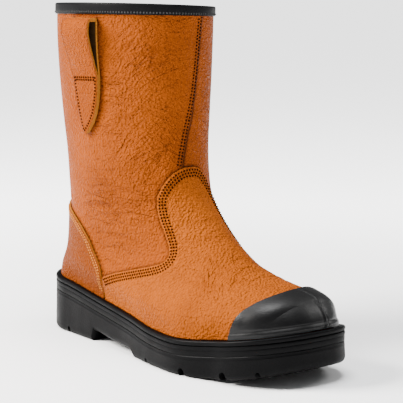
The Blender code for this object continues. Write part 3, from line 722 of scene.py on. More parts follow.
def distance_to(points, line):
    """How far each point lies from the nearest point of a line, and where on it that is."""
    flat = np.asarray(points, float).reshape(-1, 3)
    nearest = np.empty(len(flat))
    where = np.empty(len(flat), int)
    for start in range(0, len(flat), 4000):
        part = flat[start:start + 4000]
        gaps = np.linalg.norm(part[:, None] - line[None], axis=2)
        where[start:start + 4000] = gaps.argmin(axis=1)
        nearest[start:start + 4000] = gaps.min(axis=1)
    shape = np.asarray(points).shape[:-1]
    return nearest.reshape(shape), where.reshape(shape)


def bell(gap, band):
    """A band's height at a distance from where its line runs."""
    return band.height * np.exp(-((gap - band.at) / band.width) ** 2)


def beside(points, line, band):
    """A band's height at each point, along a line."""
    gap, _ = distance_to(points, line[:, :3])
    return bell(gap, band)


def falling_off(stations, end, fade):
    """1 well before the end station, 0 past it."""
    return np.clip((end - stations) / fade, 0, 1)


def soften(line, passes):
    """Evens out a line in place; its two ends stay."""
    for _ in range(passes):
        line[1:-1] = (line[:-2] + 2 * line[1:-1] + line[2:]) / 4


def form_line(stations, degrees, offset, count):
    """Evenly spaced points of a smooth line on the form."""
    knots = np.arange(len(stations))
    t = np.linspace(0, len(stations) - 1, 40 * len(stations))
    station = np.clip(np.interp(t, knots, stations), 0, LAST_STATION)
    angle = np.radians(np.interp(t, knots, degrees))
    if len(stations) > 2:
        station = np.clip(smooth(knots, stations, t), 0, LAST_STATION)
        angle = np.radians(smooth(knots, degrees, t))
    return evenly(surface(station, angle, offset), count)


def evenly(line, count):
    """Evenly spaced points of a line; columns past the first three go along with them."""
    steps = np.linalg.norm(np.diff(line[:, :3], axis=0), axis=1)
    travel = np.concatenate([[0], np.cumsum(steps)])
    wanted = np.linspace(0, travel[-1], count)
    return np.stack([np.interp(wanted, travel, values) for values in line.T], axis=1)


def edge_line(stations, degrees, offset, count):
    """Evenly spaced points of an edge on the form, each followed by its normal."""
    angles = np.radians(degrees)
    points = surface(np.asarray(stations, float), angles, offset)
    return evenly(np.hstack([points, normals(stations, angles)]), count)


def crease_relief(points, creases, offset):
    """Height of the folds at each point: a trough with a soft ridge on both sides."""
    relief = np.zeros(np.asarray(points).shape[:-1])
    for crease in creases:
        line = form_line(crease.stations, crease.angles, offset, 60)
        gap, where = distance_to(points, line)
        taper = np.sin(math.pi * (where + 0.5) / 60) ** 0.7
        u = gap / crease.width
        relief -= crease.depth * taper * (1 - 1.3 * u * u) * np.exp(-u * u)
    return relief


def zone_values(points):
    """How strongly each kind of fine wrinkle shows at each point."""
    values = {kind: np.zeros(np.asarray(points).shape[:-1]) for kind in ZONE_KINDS}
    for zone in ZONES:
        centre = surface(zone.station, math.radians(zone.angle))
        gap = np.linalg.norm(points - centre, axis=-1) / zone.reach
        shown = zone.strength * np.exp(-gap ** 2)
        values[zone.kind] = np.maximum(values[zone.kind], shown)
    return values


class Finish:
    """A material put together from texture nodes in the object's own coordinates."""

    def __init__(self, name, colour, roughness, **constants):
        self.material = bpy.data.materials.new(name)
        self.material.use_nodes = True
        self.tree = self.material.node_tree
        self.shader = self.tree.nodes["Principled BSDF"]
        self.shader.inputs["Base Color"].default_value = (*colour, 1.0)
        self.shader.inputs["Roughness"].default_value = roughness
        for socket, value in constants.items():
            self.shader.inputs[socket.replace("_", " ")].default_value = value
        self.where = self.node("ShaderNodeTexCoord").outputs["Object"]

    def node(self, kind, **settings):
        node = self.tree.nodes.new(kind)
        for key, value in settings.items():
            setattr(node, key, value)
        return node

    def link(self, source, target):
        self.tree.links.new(source, target)
        return target

    def attribute(self, name):
        return self.node("ShaderNodeAttribute", attribute_name=name).outputs["Fac"]

    def maths(self, operation, first, second=None, clamp=False):
        node = self.node("ShaderNodeMath", operation=operation, use_clamp=clamp)
        for socket, value in zip(node.inputs, (first, second)):
            if value is None:
                continue
            if isinstance(value, (int, float)):
                socket.default_value = value
            else:
                self.link(value, socket)
        return node.outputs[0]

    def turned(self, scale, turn=(0.0, 0.0, 0.0)):
        """Coordinates turned by degrees and then stretched."""
        turning = self.node("ShaderNodeMapping")
        turning.inputs["Rotation"].default_value = [math.radians(t) for t in turn]
        self.link(self.where, turning.inputs["Vector"])
        scaling = self.node("ShaderNodeMapping")
        scaling.inputs["Scale"].default_value = scale
        self.link(turning.outputs["Vector"], scaling.inputs["Vector"])
        return scaling.outputs["Vector"]

    def noise(self, scale, detail=3.0, rough=0.5, warp=0.0, where=None):
        node = self.node("ShaderNodeTexNoise")
        node.inputs["Scale"].default_value = scale
        node.inputs["Detail"].default_value = detail
        node.inputs["Roughness"].default_value = rough
        node.inputs["Distortion"].default_value = warp
        self.link(where or self.where, node.inputs["Vector"])
        return node.outputs["Fac"]

    def cells(self, scale, feature="SMOOTH_F1", where=None):
        node = self.node("ShaderNodeTexVoronoi", feature=feature)
        node.inputs["Scale"].default_value = scale
        self.link(where or self.where, node.inputs["Vector"])
        return node.outputs["Distance"]

    def lines(self, noise, width):
        """Thin valleys where a noise passes its middle: 0 in the valley, 1 beside it."""
        away = self.maths("ABSOLUTE", self.maths("SUBTRACT", noise, 0.5))
        return self.maths("DIVIDE", away, width, clamp=True)

    def mix(self, share, first, second):
        """Mix of two colours; each is a colour or a socket."""
        node = self.node("ShaderNodeMix", data_type="RGBA")
        sockets = (node.inputs[0], node.inputs[6], node.inputs[7])
        for socket, value in zip(sockets, (share, first, second)):
            if isinstance(value, (int, float)):
                socket.default_value = value
            elif isinstance(value, tuple):
                socket.default_value = (*value, 1.0)
            else:
                self.link(value, socket)
        return node.outputs[2]

    def paint(self, base):
        self.link(base, self.shader.inputs["Base Color"])

    def bump(self, height, distance):
        """Adds relief over what the shader's normal already has."""
        node = self.node("ShaderNodeBump")
        node.inputs["Strength"].default_value = 1.0
        node.inputs["Distance"].default_value = distance
        self.link(height, node.inputs["Height"])
        old = self.shader.inputs["Normal"].links
        if old:
            self.link(old[0].from_socket, node.inputs["Normal"])
        self.link(node.outputs["Normal"], self.shader.inputs["Normal"])


def toned(colour, share):
    return tuple(share * c for c in colour)


def vary_roughness(finish, scale, low, high):
    spread = finish.node("ShaderNodeMapRange")
    spread.inputs["From Min"].default_value = 0.3
    spread.inputs["From Max"].default_value = 0.7
    spread.inputs["To Min"].default_value = low
    spread.inputs["To Max"].default_value = high
    finish.link(finish.noise(scale, 4.0), spread.inputs["Value"])
    finish.link(spread.outputs["Result"], finish.shader.inputs["Roughness"])


def leather(name, colour, deep, grain, wrinkles):
    """Pebbled leather with wrinkles where its points say so, and painted shade in the wrinkles'
    valleys and the creases' troughs.
    """
    finish = Finish(name, colour, 0.5, Specular_IOR_Level=0.035,
                    Specular_Tint=LEATHER_GLOSS)
    clouds = finish.noise(14.0, detail=3.0, rough=0.55)
    share = finish.maths("MULTIPLY", finish.maths("SUBTRACT", clouds, 0.42, clamp=True), 1.3)
    base = finish.mix(share, colour, deep)
    pebble = finish.cells(1.0 / grain)
    fine = finish.noise(0.7 / grain, detail=3.0, rough=0.6)
    dark = finish.maths("MULTIPLY", pebble, 0.30, clamp=True)
    base = finish.mix(dark, base, deep)
    for kind, turn in (("rising", 45.0), ("level", 0.0), ("falling", -45.0)):
        where = finish.turned((0.20, 0.20, 1.0), (0.0, turn, 0.0))
        wide, close = [finish.noise(scale, detail=1.0, rough=0.4, warp=0.4, where=where)
                       for scale in (150.0, 330.0)]
        folds = finish.lines(wide, width=0.05)
        small = finish.lines(close, width=0.08)
        shown = finish.maths("MULTIPLY", finish.attribute(kind), wrinkles, clamp=True)
        small = finish.maths("MULTIPLY", small, 0.7)
        height = finish.maths("MULTIPLY", finish.maths("ADD", folds, small), shown)
        finish.bump(height, 0.0008)
        # Painted shade: the valleys of the fine wrinkles are darkened towards deep tan.
        painted_valley_shade = finish.maths("SUBTRACT", 1.0, folds)
        painted_valley_shade = finish.maths("MULTIPLY", finish.maths("MULTIPLY", painted_valley_shade, shown), 0.42)
        base = finish.mix(painted_valley_shade, base, deep)
    finish.bump(finish.noise(60.0, detail=2.0), 0.0010)
    finish.bump(pebble, 0.0017)
    finish.bump(fine, 0.0005)
    # Painted shade: the troughs of the creases are darkened towards deep tan.
    painted_crease_shade = finish.maths("MULTIPLY", finish.attribute("fold"), 0.45, clamp=True)
    base = finish.mix(painted_crease_shade, base, deep)
    base = finish.mix(finish.attribute("shade"), base, SHADE_COLOUR)
    finish.paint(base)
    vary_roughness(finish, 240.0, 0.44, 0.62)
    return finish.material


def raw_leather(name, colour, roughness):
    """Cut edge or suede back: short fibres."""
    finish = Finish(name, colour, roughness, Specular_IOR_Level=0.1)
    fibres = finish.noise(900.0, 4.0, 0.7)
    base = finish.mix(fibres, toned(colour, 0.55), toned(colour, 1.35))
    finish.paint(base)
    finish.bump(fibres, 0.0004)
    return finish.material


def moulded_rubber(name, colour, low, high, coat, level=0.03):
    """Satin black rubber with mould texture, dust in its pores and a soft gloss."""
    finish = Finish(name, colour, low, Specular_IOR_Level=level, Coat_Weight=coat,
                    Coat_Roughness=0.3)
    dust = finish.maths("SUBTRACT", finish.noise(45.0, 5.0, 0.65), 0.52, clamp=True)
    dust = finish.maths("MULTIPLY", dust, 0.15, clamp=True)
    base = finish.mix(dust, colour, DUST_COLOUR)
    finish.paint(base)
    finish.bump(finish.noise(55.0, 2.0), 0.0002)
    finish.bump(finish.noise(900.0, 2.0), 0.00018)
    vary_roughness(finish, 70.0, low, high)
    return finish.material


def thread_finish(name, colour):
    finish = Finish(name, colour, 0.8, Specular_IOR_Level=0.02)
    twist = finish.noise(2500.0, 2.0)
    base = finish.mix(twist, toned(colour, 0.6), toned(colour, 1.4))
    finish.paint(base)
    finish.bump(twist, 0.0002)
    return finish.material


def fleece_finish(name, colour):
    finish = Finish(name, colour, 0.95, Sheen_Weight=0.5)
    curls = finish.noise(420.0, 4.0, 0.65, 0.8)
    base = finish.mix(curls, toned(colour, 0.55), colour)
    finish.paint(base)
    finish.bump(curls, 0.0016)
    return finish.material


def material(name):
    """The boot's materials, each made when a piece first asks for it."""
    if name in bpy.data.materials:
        return bpy.data.materials[name]
    colours = bpy.context.scene.boot_colours
    sizes = bpy.context.scene.boot_sizes
    tan, deep = tuple(colours.tan), tuple(colours.tan_deep)
    makers = {
        "shaft_leather": lambda n: leather(n, tan, deep, sizes.grain, 1.0),
        "counter_leather": lambda n: leather(
            n, toned(tan, COUNTER_TONE), deep, sizes.grain, 0.4),
        "foot_leather": lambda n: leather(n, tuple(colours.vamp), deep, sizes.grain, 0.8),
        "strap_leather": lambda n: leather(n, tan, deep, sizes.grain * 0.8, 0.3),
        "cut_leather": lambda n: raw_leather(n, tuple(colours.cut_edge), 0.85),
        "suede_back": lambda n: raw_leather(n, tuple(colours.suede), 0.95),
        "sole_rubber": lambda n: moulded_rubber(n, tuple(colours.rubber), 0.40, 0.55, 0.03),
        "toe_rubber": lambda n: moulded_rubber(n, tuple(colours.rubber), 0.36, 0.48, 0.05, 0.17),
        "collar_trim": lambda n: moulded_rubber(n, tuple(colours.trim), 0.42, 0.56, 0.03),
        "dark_thread": lambda n: thread_finish(n, tuple(colours.thread)),
        "pale_thread": lambda n: thread_finish(n, tuple(colours.pale_thread)),
        "black_thread": lambda n: thread_finish(n, BLACK_THREAD),
        "fleece": lambda n: fleece_finish(n, tuple(colours.fleece)),
    }
    return makers[name](name)


def seam_line(offset=0.0, count=240):
    return form_line(SEAM_STATIONS, SEAM_ANGLES, offset, count)


def seam_relief(points, angles, stations):
    """The outer half of the shaft laps over the inner one and thins out away from its edge."""
    step = 1000 * bpy.context.scene.boot_sizes.seam_step
    edge = np.radians(np.interp(stations, SEAM_STATIONS, SEAM_ANGLES))
    gap, _ = distance_to(points, seam_line())
    over = np.where(angles < edge, 1.0, -1.0)
    rise = np.clip(0.5 + over * gap / LAP_SOFTNESS, 0, 1)
    thin = np.exp(-np.clip(gap - LAP_REACH, 0, None) ** 2 / LAP_FADE)
    above_tongue = falling_off(stations, *LAP_END)
    outer = step * rise * thin * above_tongue * (over > 0)
    return outer + step * rise * (over <= 0) * above_tongue


def strap_lines():
    """Outlines of the two pull loops on the shaft."""
    rows = loop_values(np.linspace(LOOP_ROWS[0].station, LOOP_ROWS[-1].station, 60))
    lines = []
    for side in (-1, 1):
        for name in ("front", "back"):
            places = [(row.station, side * getattr(row, name)) for row in rows]
            stations, degrees = zip(*places)
            lines.append(edge_line(stations, degrees, SEAT, 160))
    return lines


def make_upper():
    """Leather of shaft and foot, with its folds and the lap seam."""
    stations, angles, open_rows = last_grid(0.0, *UPPER_GRID)
    plain = surface(stations, angles)
    folds = crease_relief(plain, SHAFT_CREASES, 0.0) * bpy.context.scene.boot_sizes.crease_depth
    calm = np.clip(stations / CALM_RIM, 0, 1) * falling_off(stations, *CALM_FOOT)
    folds = folds * calm
    relief = folds + seam_relief(plain, angles, stations)
    outside = surface(stations, angles, relief)
    inner_stations, inner_angles, _ = last_grid(-LEATHER, *UPPER_GRID)
    inside = surface(inner_stations, inner_angles, -LEATHER)
    mesh, _ = wall(outside, inside, 1, open_rows)
    shade = beside(plain, seam_line(), SEAM_SHADE) * falling_off(stations, *SEAM_SHADE_END)
    for edge in (vamp_edge_line(SEAT), counter_edge_line(SEAT)):
        shade = np.maximum(shade, beside(plain, edge, EDGE_SHADE))
    for line in strap_lines():
        shade = np.maximum(shade, beside(plain, line, STRAP_SHADE))
    shown = {**zone_values(plain), "fold": np.clip(-folds, 0, 1), "shade": shade}
    values = {key: np.concatenate([v.ravel(), np.zeros(v.size)]) for key, v in shown.items()}
    finishes = [material("shaft_leather"), material("cut_leather")]
    piece = new_piece("upper_leather", mesh, finishes, values, 60)
    return dress(piece, ["upper"])


def make_lining():
    """Fleece inside the shaft and foot."""
    near = LEATHER + LINING_GAP
    stations, angles, open_rows = last_grid(-near, *LINING_GRID)
    outside = surface(stations, angles, -near)
    stations, angles, _ = last_grid(-WALL, *LINING_GRID)
    wave = np.sin(stations * 23.0 + 3 * np.sin(angles * 17)) * np.sin(angles * 41)
    inside = surface(stations, angles, -WALL - LINING_GAP + FLEECE_WAVE * wave)
    mesh, _ = wall(outside, inside, 0, open_rows)
    return dress(new_piece("fleece_lining", mesh, [material("fleece")], None, 80), [])


def finer(stations, most, fast_from, fast_to):
    """Stations with more steps between them, closest where the edge turns."""
    found = [stations[0]]
    for low, high in zip(stations[:-1], stations[1:]):
        steps = max(1, math.ceil((high - low) / most))
        if fast_from <= low < fast_to:
            steps = max(steps, 5)
        found.extend(np.linspace(low, high, steps + 1)[1:])
    return np.array(found)


def vamp_grid(offset):
    arches, columns = VAMP_GRID
    toe = toe_station(offset, ledge_line)
    table = column(VAMP_EDGES, "station")
    rear = finer(table, VAMP_STEP, *VAMP_TURN)[:-1]
    front = arch_stations(table[-1], toe, arches, offset, ledge_line)[:-1]
    stations = np.concatenate([rear, front])
    limits = []
    for side, name in ((-1, "outer"), (1, "inner")):
        edge = np.radians(np.interp(stations, table, column(VAMP_EDGES, name)))
        ledge = foot_angle(stations, side, offset, ledge_line)
        limits.append(np.where(stations > VAMP_LIP_STATION, np.minimum(edge, ledge), edge))
    angles = [spread_angles(low, high, columns) for low, high in zip(*limits)]
    angles.append(np.zeros(columns + 1))
    stations = np.append(stations, toe)
    return np.repeat(stations[:, None], columns + 1, axis=1), np.array(angles)


def vamp_edge_line(offset):
    """The vamp's sewn edge from the outer counter over the tongue to the inner counter."""
    rows = [row for row in VAMP_EDGES if row.station <= VAMP_CORNER]
    table = column(rows, "station")
    fine = finer(table, VAMP_EDGE_STEP, *VAMP_TURN)
    outer = -np.interp(fine, table, column(rows, "outer"))
    inner = np.interp(fine, table, column(rows, "inner"))
    stations = np.concatenate([fine[::-1], fine])
    degrees = np.concatenate([outer[::-1], inner])
    return edge_line(stations, degrees, offset, 520)


def overlay_piece(name, outside, inside, finishes, values):
    mesh, _ = wall(outside, inside, 1)
    doubled = {key: np.concatenate([v.ravel(), v.ravel()]) for key, v in values.items()}
    return new_piece(name, mesh, finishes, doubled, 50)


def make_vamp():
    """Front of the foot with its tongue up the instep."""
    offset = SEAT + OVERLAY
    stations, angles = vamp_grid(offset)
    plain = surface(stations, angles, offset)
    folds = crease_relief(plain, VAMP_CREASES, offset)
    folds = folds * bpy.context.scene.boot_sizes.crease_depth
    hem = beside(plain, vamp_edge_line(offset), VAMP_HEM)
    outside = surface(stations, angles, offset + folds - hem)
    inner_stations, inner_angles = vamp_grid(SEAT)
    inside = surface(inner_stations, inner_angles, SEAT)
    values = zone_values(plain)
    values["fold"] = np.clip(-folds, 0, 1)
    values["shade"] = beside(plain, counter_edge_line(offset), COUNTER_SHADE)
    finishes = [material("foot_leather"), material("cut_leather")]
    piece = overlay_piece("vamp_leather_piece", outside, inside, finishes, values)
    return dress(piece, ["vamp"])


def counter_grid(offset):
    steps, height = COUNTER_GRID
    back = heel_station(offset, ledge_line)
    front = COUNTER_EDGES[0].station
    reach = np.linspace(0, 1, len(COUNTER_EDGES))
    spread = np.linspace(1, 0, steps) ** COUNTER_SPREAD
    around = 1 - (1 - COUNTER_START) * spread
    climb = np.linspace(0, 1, height)
    stations, angles = [], []
    for side, shares in ((-1, around), (1, around[::-1][1:])):
        low = front + (back - front) * shares
        low_angle = foot_angle(low, side, offset, ledge_line)
        low_angle[shares == 1] = math.pi
        high = smooth(reach, column(COUNTER_EDGES, "station"), shares)
        high_angle = np.radians(smooth(reach, column(COUNTER_EDGES, "angle"), shares))
        stations.extend(low[:, None] + np.outer(high - low, climb))
        angles.extend(side * (low_angle[:, None] + np.outer(high_angle - low_angle, climb)))
    return np.array(stations), np.array(angles)


def counter_edge_line(offset):
    reach = np.linspace(0, 1, len(COUNTER_EDGES))
    shares = np.linspace(COUNTER_START, 1, 120)
    station = smooth(reach, column(COUNTER_EDGES, "station"), shares)
    degrees = smooth(reach, column(COUNTER_EDGES, "angle"), shares)
    stations = np.concatenate([station, station[::-1][1:]])
    turned = np.concatenate([-degrees, degrees[::-1][1:]])
    return edge_line(stations, turned, offset, 420)


def make_counter():
    """Stiffened piece round the heel."""
    offset = SEAT + OVERLAY
    stations, angles = counter_grid(offset)
    plain = surface(stations, angles, offset)
    hem = beside(plain, counter_edge_line(offset), COUNTER_HEM)
    outside = surface(stations, angles, offset - hem)
    inner_stations, inner_angles = counter_grid(SEAT)
    inside = surface(inner_stations, inner_angles, SEAT)
    values = {kind: 0 * v for kind, v in zone_values(plain).items()}
    values["fold"] = np.zeros(hem.shape)
    finishes = [material("counter_leather"), material("cut_leather")]
    piece = overlay_piece("counter_leather_piece", outside, inside, finishes, values)
    return dress(piece, ["heel_counter"])


def cap_grid(offset):
    rows, columns = CAP_GRID
    toe = toe_station(offset, ledge_line)
    degrees = column(CAP_EDGES, "angle")
    edge = column(CAP_EDGES, "station")
    shares = np.linspace(0, 1, rows)[:-1]
    outer = foot_angle(edge[0] + (toe - edge[0]) * shares, -1, offset, ledge_line)
    inner = foot_angle(edge[-1] + (toe - edge[-1]) * shares, 1, offset, ledge_line)
    turn = np.array([spread_angles(*limits, columns) for limits in zip(outer, inner)])
    start = smooth(degrees, edge, np.degrees(turn))
    stations = start + (toe - start) * shares[:, None]
    stations = np.vstack([stations, np.full(columns + 1, toe)])
    return stations, np.vstack([turn, np.zeros(columns + 1)])


def cap_relief(points, angles):
    """Bevel at the rear edge, bead over the lip and the mould's parting line."""
    rear = smooth(column(CAP_EDGES, "angle"), column(CAP_EDGES, "station"), np.degrees(angles))
    rear_line = surface(rear[0], angles[0], SEAT)
    relief = -beside(points, evenly(rear_line, 300), CAP_BEVEL)
    height = points[..., 2] - lip_level(points[..., 0])
    relief += bell(height, CAP_BEAD)
    relief -= bell(height, CAP_GROOVE)
    parting = form_line(PARTING_STATIONS, PARTING_ANGLES, 2 * SEAT + OVERLAY + CAP_WALL, 200)
    gap, _ = distance_to(points, parting)
    return relief + bell(gap, PARTING_RIDGE) - bell(gap, PARTING_VALLEY)


def make_cap():
    """Moulded rubber over the toe."""
    base = 2 * SEAT + OVERLAY
    offset = base + CAP_WALL
    stations, angles = cap_grid(offset)
    plain = surface(stations, angles, offset)
    relief = cap_relief(plain, angles)
    relief[-1] = relief[-2].mean()
    outside = surface(stations, angles, offset + relief)
    inner_stations, inner_angles = cap_grid(base)
    inside = surface(inner_stations, inner_angles, base)
    rubber = material("toe_rubber")
    piece = overlay_piece("toe_cap_rubber", outside, inside, [rubber, rubber], {})
    return dress(piece, ["toe_cap"])


def make_binding():
    """Folded strip over the rim of the collar."""
    outer = SEAT + BINDING_WALL
    inner = -WALL - SEAT
    far = inner - BINDING_WALL
    corner = np.radians(np.linspace(0, 90, 6))
    radius = 1.3
    crown = BINDING_TOP + 0.6
    profile = [(outer - 0.5, -BINDING_DROP), (outer, -BINDING_DROP + 0.5)]
    profile += [(outer - 0.12, -BINDING_DROP + 1.5), (outer + 0.05, -BINDING_DROP + 3.0)]
    profile += [(outer - radius * (1 - math.cos(a)), crown - radius * (1 - math.sin(a)))
                for a in corner]
    profile += [(far + radius * (1 - math.sin(a)), crown - radius * (1 - math.cos(a)))
                for a in corner]
    profile += [(far, -BINDING_DROP), (inner, -BINDING_DROP), (inner, JOINT), (SEAT, JOINT),
                (SEAT, -BINDING_DROP), (outer - 0.5, -BINDING_DROP)]
    angles = spread_angles(math.pi, math.pi, COLLAR_COLUMNS)
    rows = []
    for offset, height in profile:
        wave = 0.12 * np.sin(19 * angles) * np.sin(7 * angles + 1.0) * (height < -1)
        line = surface(np.full(angles.shape, max(0.0, -height / RIM_SPACING)), angles, offset + wave)
        line[:, 2] += max(0.0, height)
        rows.append(line)
    mesh = Mesh()
    mesh.grid(rows)
    piece = new_piece("collar_strip", mesh, [material("collar_trim")], None, 50)
    return dress(piece, ["collar_binding"])


def loop_values(stations):
    table = column(LOOP_ROWS, "station")
    return [LoopRow(s, *[float(np.interp(s, table, column(LOOP_ROWS, f)))
                         for f in LoopRow._fields[1:]]) for s in stations]


def loop_block(name, side, rows, near, far, flare, finishes):
    """Solid between two heights over the shaft, across the strap's width."""
    outside, inside = [], []
    columns = STRAP_COLUMNS
    for row in rows:
        angle = side * np.radians(np.linspace(row.front - flare, row.back + flare, columns))
        bow = STRAP_BOW * np.sin(np.linspace(0, math.pi, columns)) * (flare == 0)
        inside.append(surface(np.full(columns, row.station), angle, near(row)))
        outside.append(surface(np.full(columns, row.station), angle, far(row) + bow))
    mesh, outer = wall(outside, inside, 1)
    values = {kind: np.full(len(mesh.points), STRAP_WRINKLES) for kind in ZONE_KINDS}
    values["fold"] = np.zeros(len(mesh.points))
    # Painted shade along the strap's front and back edges, mixed in through the shade attribute.
    rubbed = np.zeros(len(mesh.points))
    rubbed[outer[:, 0]] = rubbed[outer[:, -1]] = STRAP_EDGE_SHADE
    values["shade"] = rubbed
    return new_piece(name, mesh, finishes, values, 35)


def make_loop(name, node, side):
    """Folded strap: an open eye under the collar over a tongue sewn to the shaft."""
    top, crown, end = (LOOP_ROWS[k].station for k in (0, 3, -1))
    fine = np.concatenate([np.linspace(top, crown, 10), np.linspace(crown, end, 46)[1:]])
    strap = loop_block(
        name, side, loop_values(fine), lambda row: SEAT,
        lambda row: SEAT + 2 * STRAP + LOOP_BULGE * row.bulge, 0.0,
        [material("strap_leather"), material("cut_leather")])
    eye_rows = loop_values(np.linspace(EYE_TOP, EYE_BOTTOM, 26))
    suede = material("suede_back")
    eye = loop_block(
        name + "_eye", side, eye_rows, lambda row: SEAT + STRAP,
        lambda row: SEAT + STRAP + LOOP_BULGE * row.bulge, EYE_FLARE, [suede, suede])
    piece = cut(strap, eye)
    return dress(piece, [node])


def cut(target, cutter):
    """Takes the cutter out of the target; its faces bring their own material."""
    boolean = target.modifiers.new("cut", "BOOLEAN")
    boolean.object = cutter
    boolean.operation = "DIFFERENCE"
    boolean.solver = "EXACT"
    boolean.material_mode = "TRANSFER"
    return baked(target, [cutter])


def baked(target, helpers):
    """The object as a plain mesh, with its modifiers worked in and its helpers removed."""
    bpy.context.view_layer.update()
    evaluated = target.evaluated_get(bpy.context.evaluated_depsgraph_get())
    data = bpy.data.meshes.new_from_object(evaluated)
    target.modifiers.clear()
    data.name = target.name
    target.data = data
    for helper in helpers:
        bpy.data.objects.remove(helper, do_unlink=True)
    return target


def outline_steps(heel_inset, toe_inset):
    ends = np.linspace(0, math.pi / 2, END_STEPS)
    heel_reach = HEEL_ARC - heel_inset
    heel = HEEL_ARC - heel_reach * np.cos(ends) ** (2 / HEEL_POWER)
    middle = np.linspace(HEEL_ARC, LENGTH - TOE_ARC, MIDDLE_STEPS)[1:-1]
    toe_reach = TOE_ARC - toe_inset
    toe = LENGTH - TOE_ARC + toe_reach * np.sin(ends) ** (2 / TOE_POWER)
    return np.concatenate([heel, middle, toe])


def sole_ring(inset, level, extra=()):
    """The two sides of one ring round the sole; inset and level are functions of x."""
    x = outline_steps(float(inset(0.0)), float(inset(LENGTH)))
    x = np.sort(np.concatenate([x, extra]))
    sides = [np.stack([x, sole_edge(x, side, inset(x)), level(x)], axis=1) for side in (-1, 1)]
    for side in sides:
        side[0, 1] = 0.0
        side[-1, 1] = toe_swing(x[-1])
    return sides


def sole_solid(name, rings, rubber):
    mesh = Mesh()
    first = [mesh.grid([ring[k] for ring in rings]) for k in (0, 1)]
    mesh.strip(first[0][0], first[1][0])
    mesh.strip(first[0][-1], first[1][-1])
    return new_piece(name, mesh, [rubber], None, 42)


def constant(value):
    return lambda x: value + 0 * np.asarray(x, float)


def below_lip(depth):
    return lambda x: lip_level(x) - depth


def over_tread(height):
    return lambda x: tread_level(x) + height


def bead(low, high, valley, crest, count):
    """Rings of one rounded bead between two depths under the lip."""
    turns = np.linspace(0, math.pi, count)
    middle = (low + high) / 2
    return [(valley - (valley - crest) * math.sin(t) ** 0.7,
             middle + (low - high) / 2 * math.cos(t)) for t in turns]


def make_midsole():
    """Side of the sole with its two beads, and the recess for the upper."""
    profile = [(0.9, MIDSOLE), (0.6, MIDSOLE - 0.4), (0.6, 9.2), (0.6, 8.0)]
    profile += bead(7.4, 4.4, 0.8, 0.4, 9)
    profile += bead(4.0, 0.0, 1.9, 0.25, 11)
    profile += [(2.8, -0.25), (4.0, -0.1)]
    rings = [sole_ring(constant(inset), below_lip(depth)) for inset, depth in profile]

    def inset(x):
        return upper_inset(x) - RECESS_CLEARANCE

    recess = [sole_ring(inset, below_lip(depth)) for depth in (0.6, RECESS)]
    piece = sole_solid("sole_side", rings + recess, material("sole_rubber"))
    return dress(piece, ["midsole"])


def wall_rings(steps):
    """Rings down the outsole's side: a fine raised line over a tread wall that stands proud."""
    joint = MIDSOLE + JOINT
    rings = [(0.9, 0.0), (0.6, 0.4), (0.6, 2.4), (0.4, 2.9), (0.4, 3.4), (0.5, 3.9)]
    return [sole_ring(constant(inset), below_lip(joint + depth), steps) for inset, depth in rings]


def make_outsole():
    """Heel, arch, toe spring and tread, with the notches between its lugs."""
    steps = column(TREAD_LEVELS, "x")[1:-1]
    rings = wall_rings(steps)
    edge = [(0.0, 5.5), (0.1, 3.6), (0.6, 2.0), (1.4, 0.9), (2.5, 0.2), (3.6, 0.0)]
    for inset, height in edge:
        rings.append(sole_ring(constant(inset), over_tread(height), steps))
    outsole = sole_solid("sole_tread", rings, material("sole_rubber"))
    piece = cut(outsole, notch_cutters(material("sole_rubber")))
    piece.data.shade_smooth()
    piece.data.set_sharp_from_angle(angle=math.radians(30))
    return dress(piece, ["outsole"])


def notch_cutters(rubber):
    """Cutters with arched tops, joined in one object without touching each other."""
    mesh = Mesh()
    for notch in NOTCHES:
        half = notch.width / 2
        spring = float(tread_level(notch.x)) + notch.height - half
        arch = [(-half * 1.5, -CUT_MARGIN), (-half * 1.15, spring)]
        for turn in np.radians(np.linspace(20, 160, 7)):
            arch.append((-half * math.cos(turn), spring + half * math.sin(turn)))
        arch += [(half * 1.15, spring), (half * 1.5, -CUT_MARGIN)]
        for side, reach in ((-1, notch.outer), (1, notch.inner)):
            if reach == 0:
                continue
            edge = abs(float(sole_edge(notch.x, side, 0.0)))
            ends = (side * (edge + CUT_MARGIN), side * (edge - reach))
            number = mesh.grid([[(notch.x + dx, y, z) for dx, z in arch] for y in ends])
            for face in (number[0], number[1][::-1]):
                mesh.faces.append(tuple(int(n) for n in face))
                mesh.finishes.append(0)
            mesh.strip(number[:, -1], number[:, 0])
    return new_piece("notch_cutters", mesh, [rubber], None, 40)


def finish_insole():
    """The insole keeps its solid and gets the fleece's cloth."""
    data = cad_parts["insole"].data
    data.materials.clear()
    data.materials.append(material("fleece"))


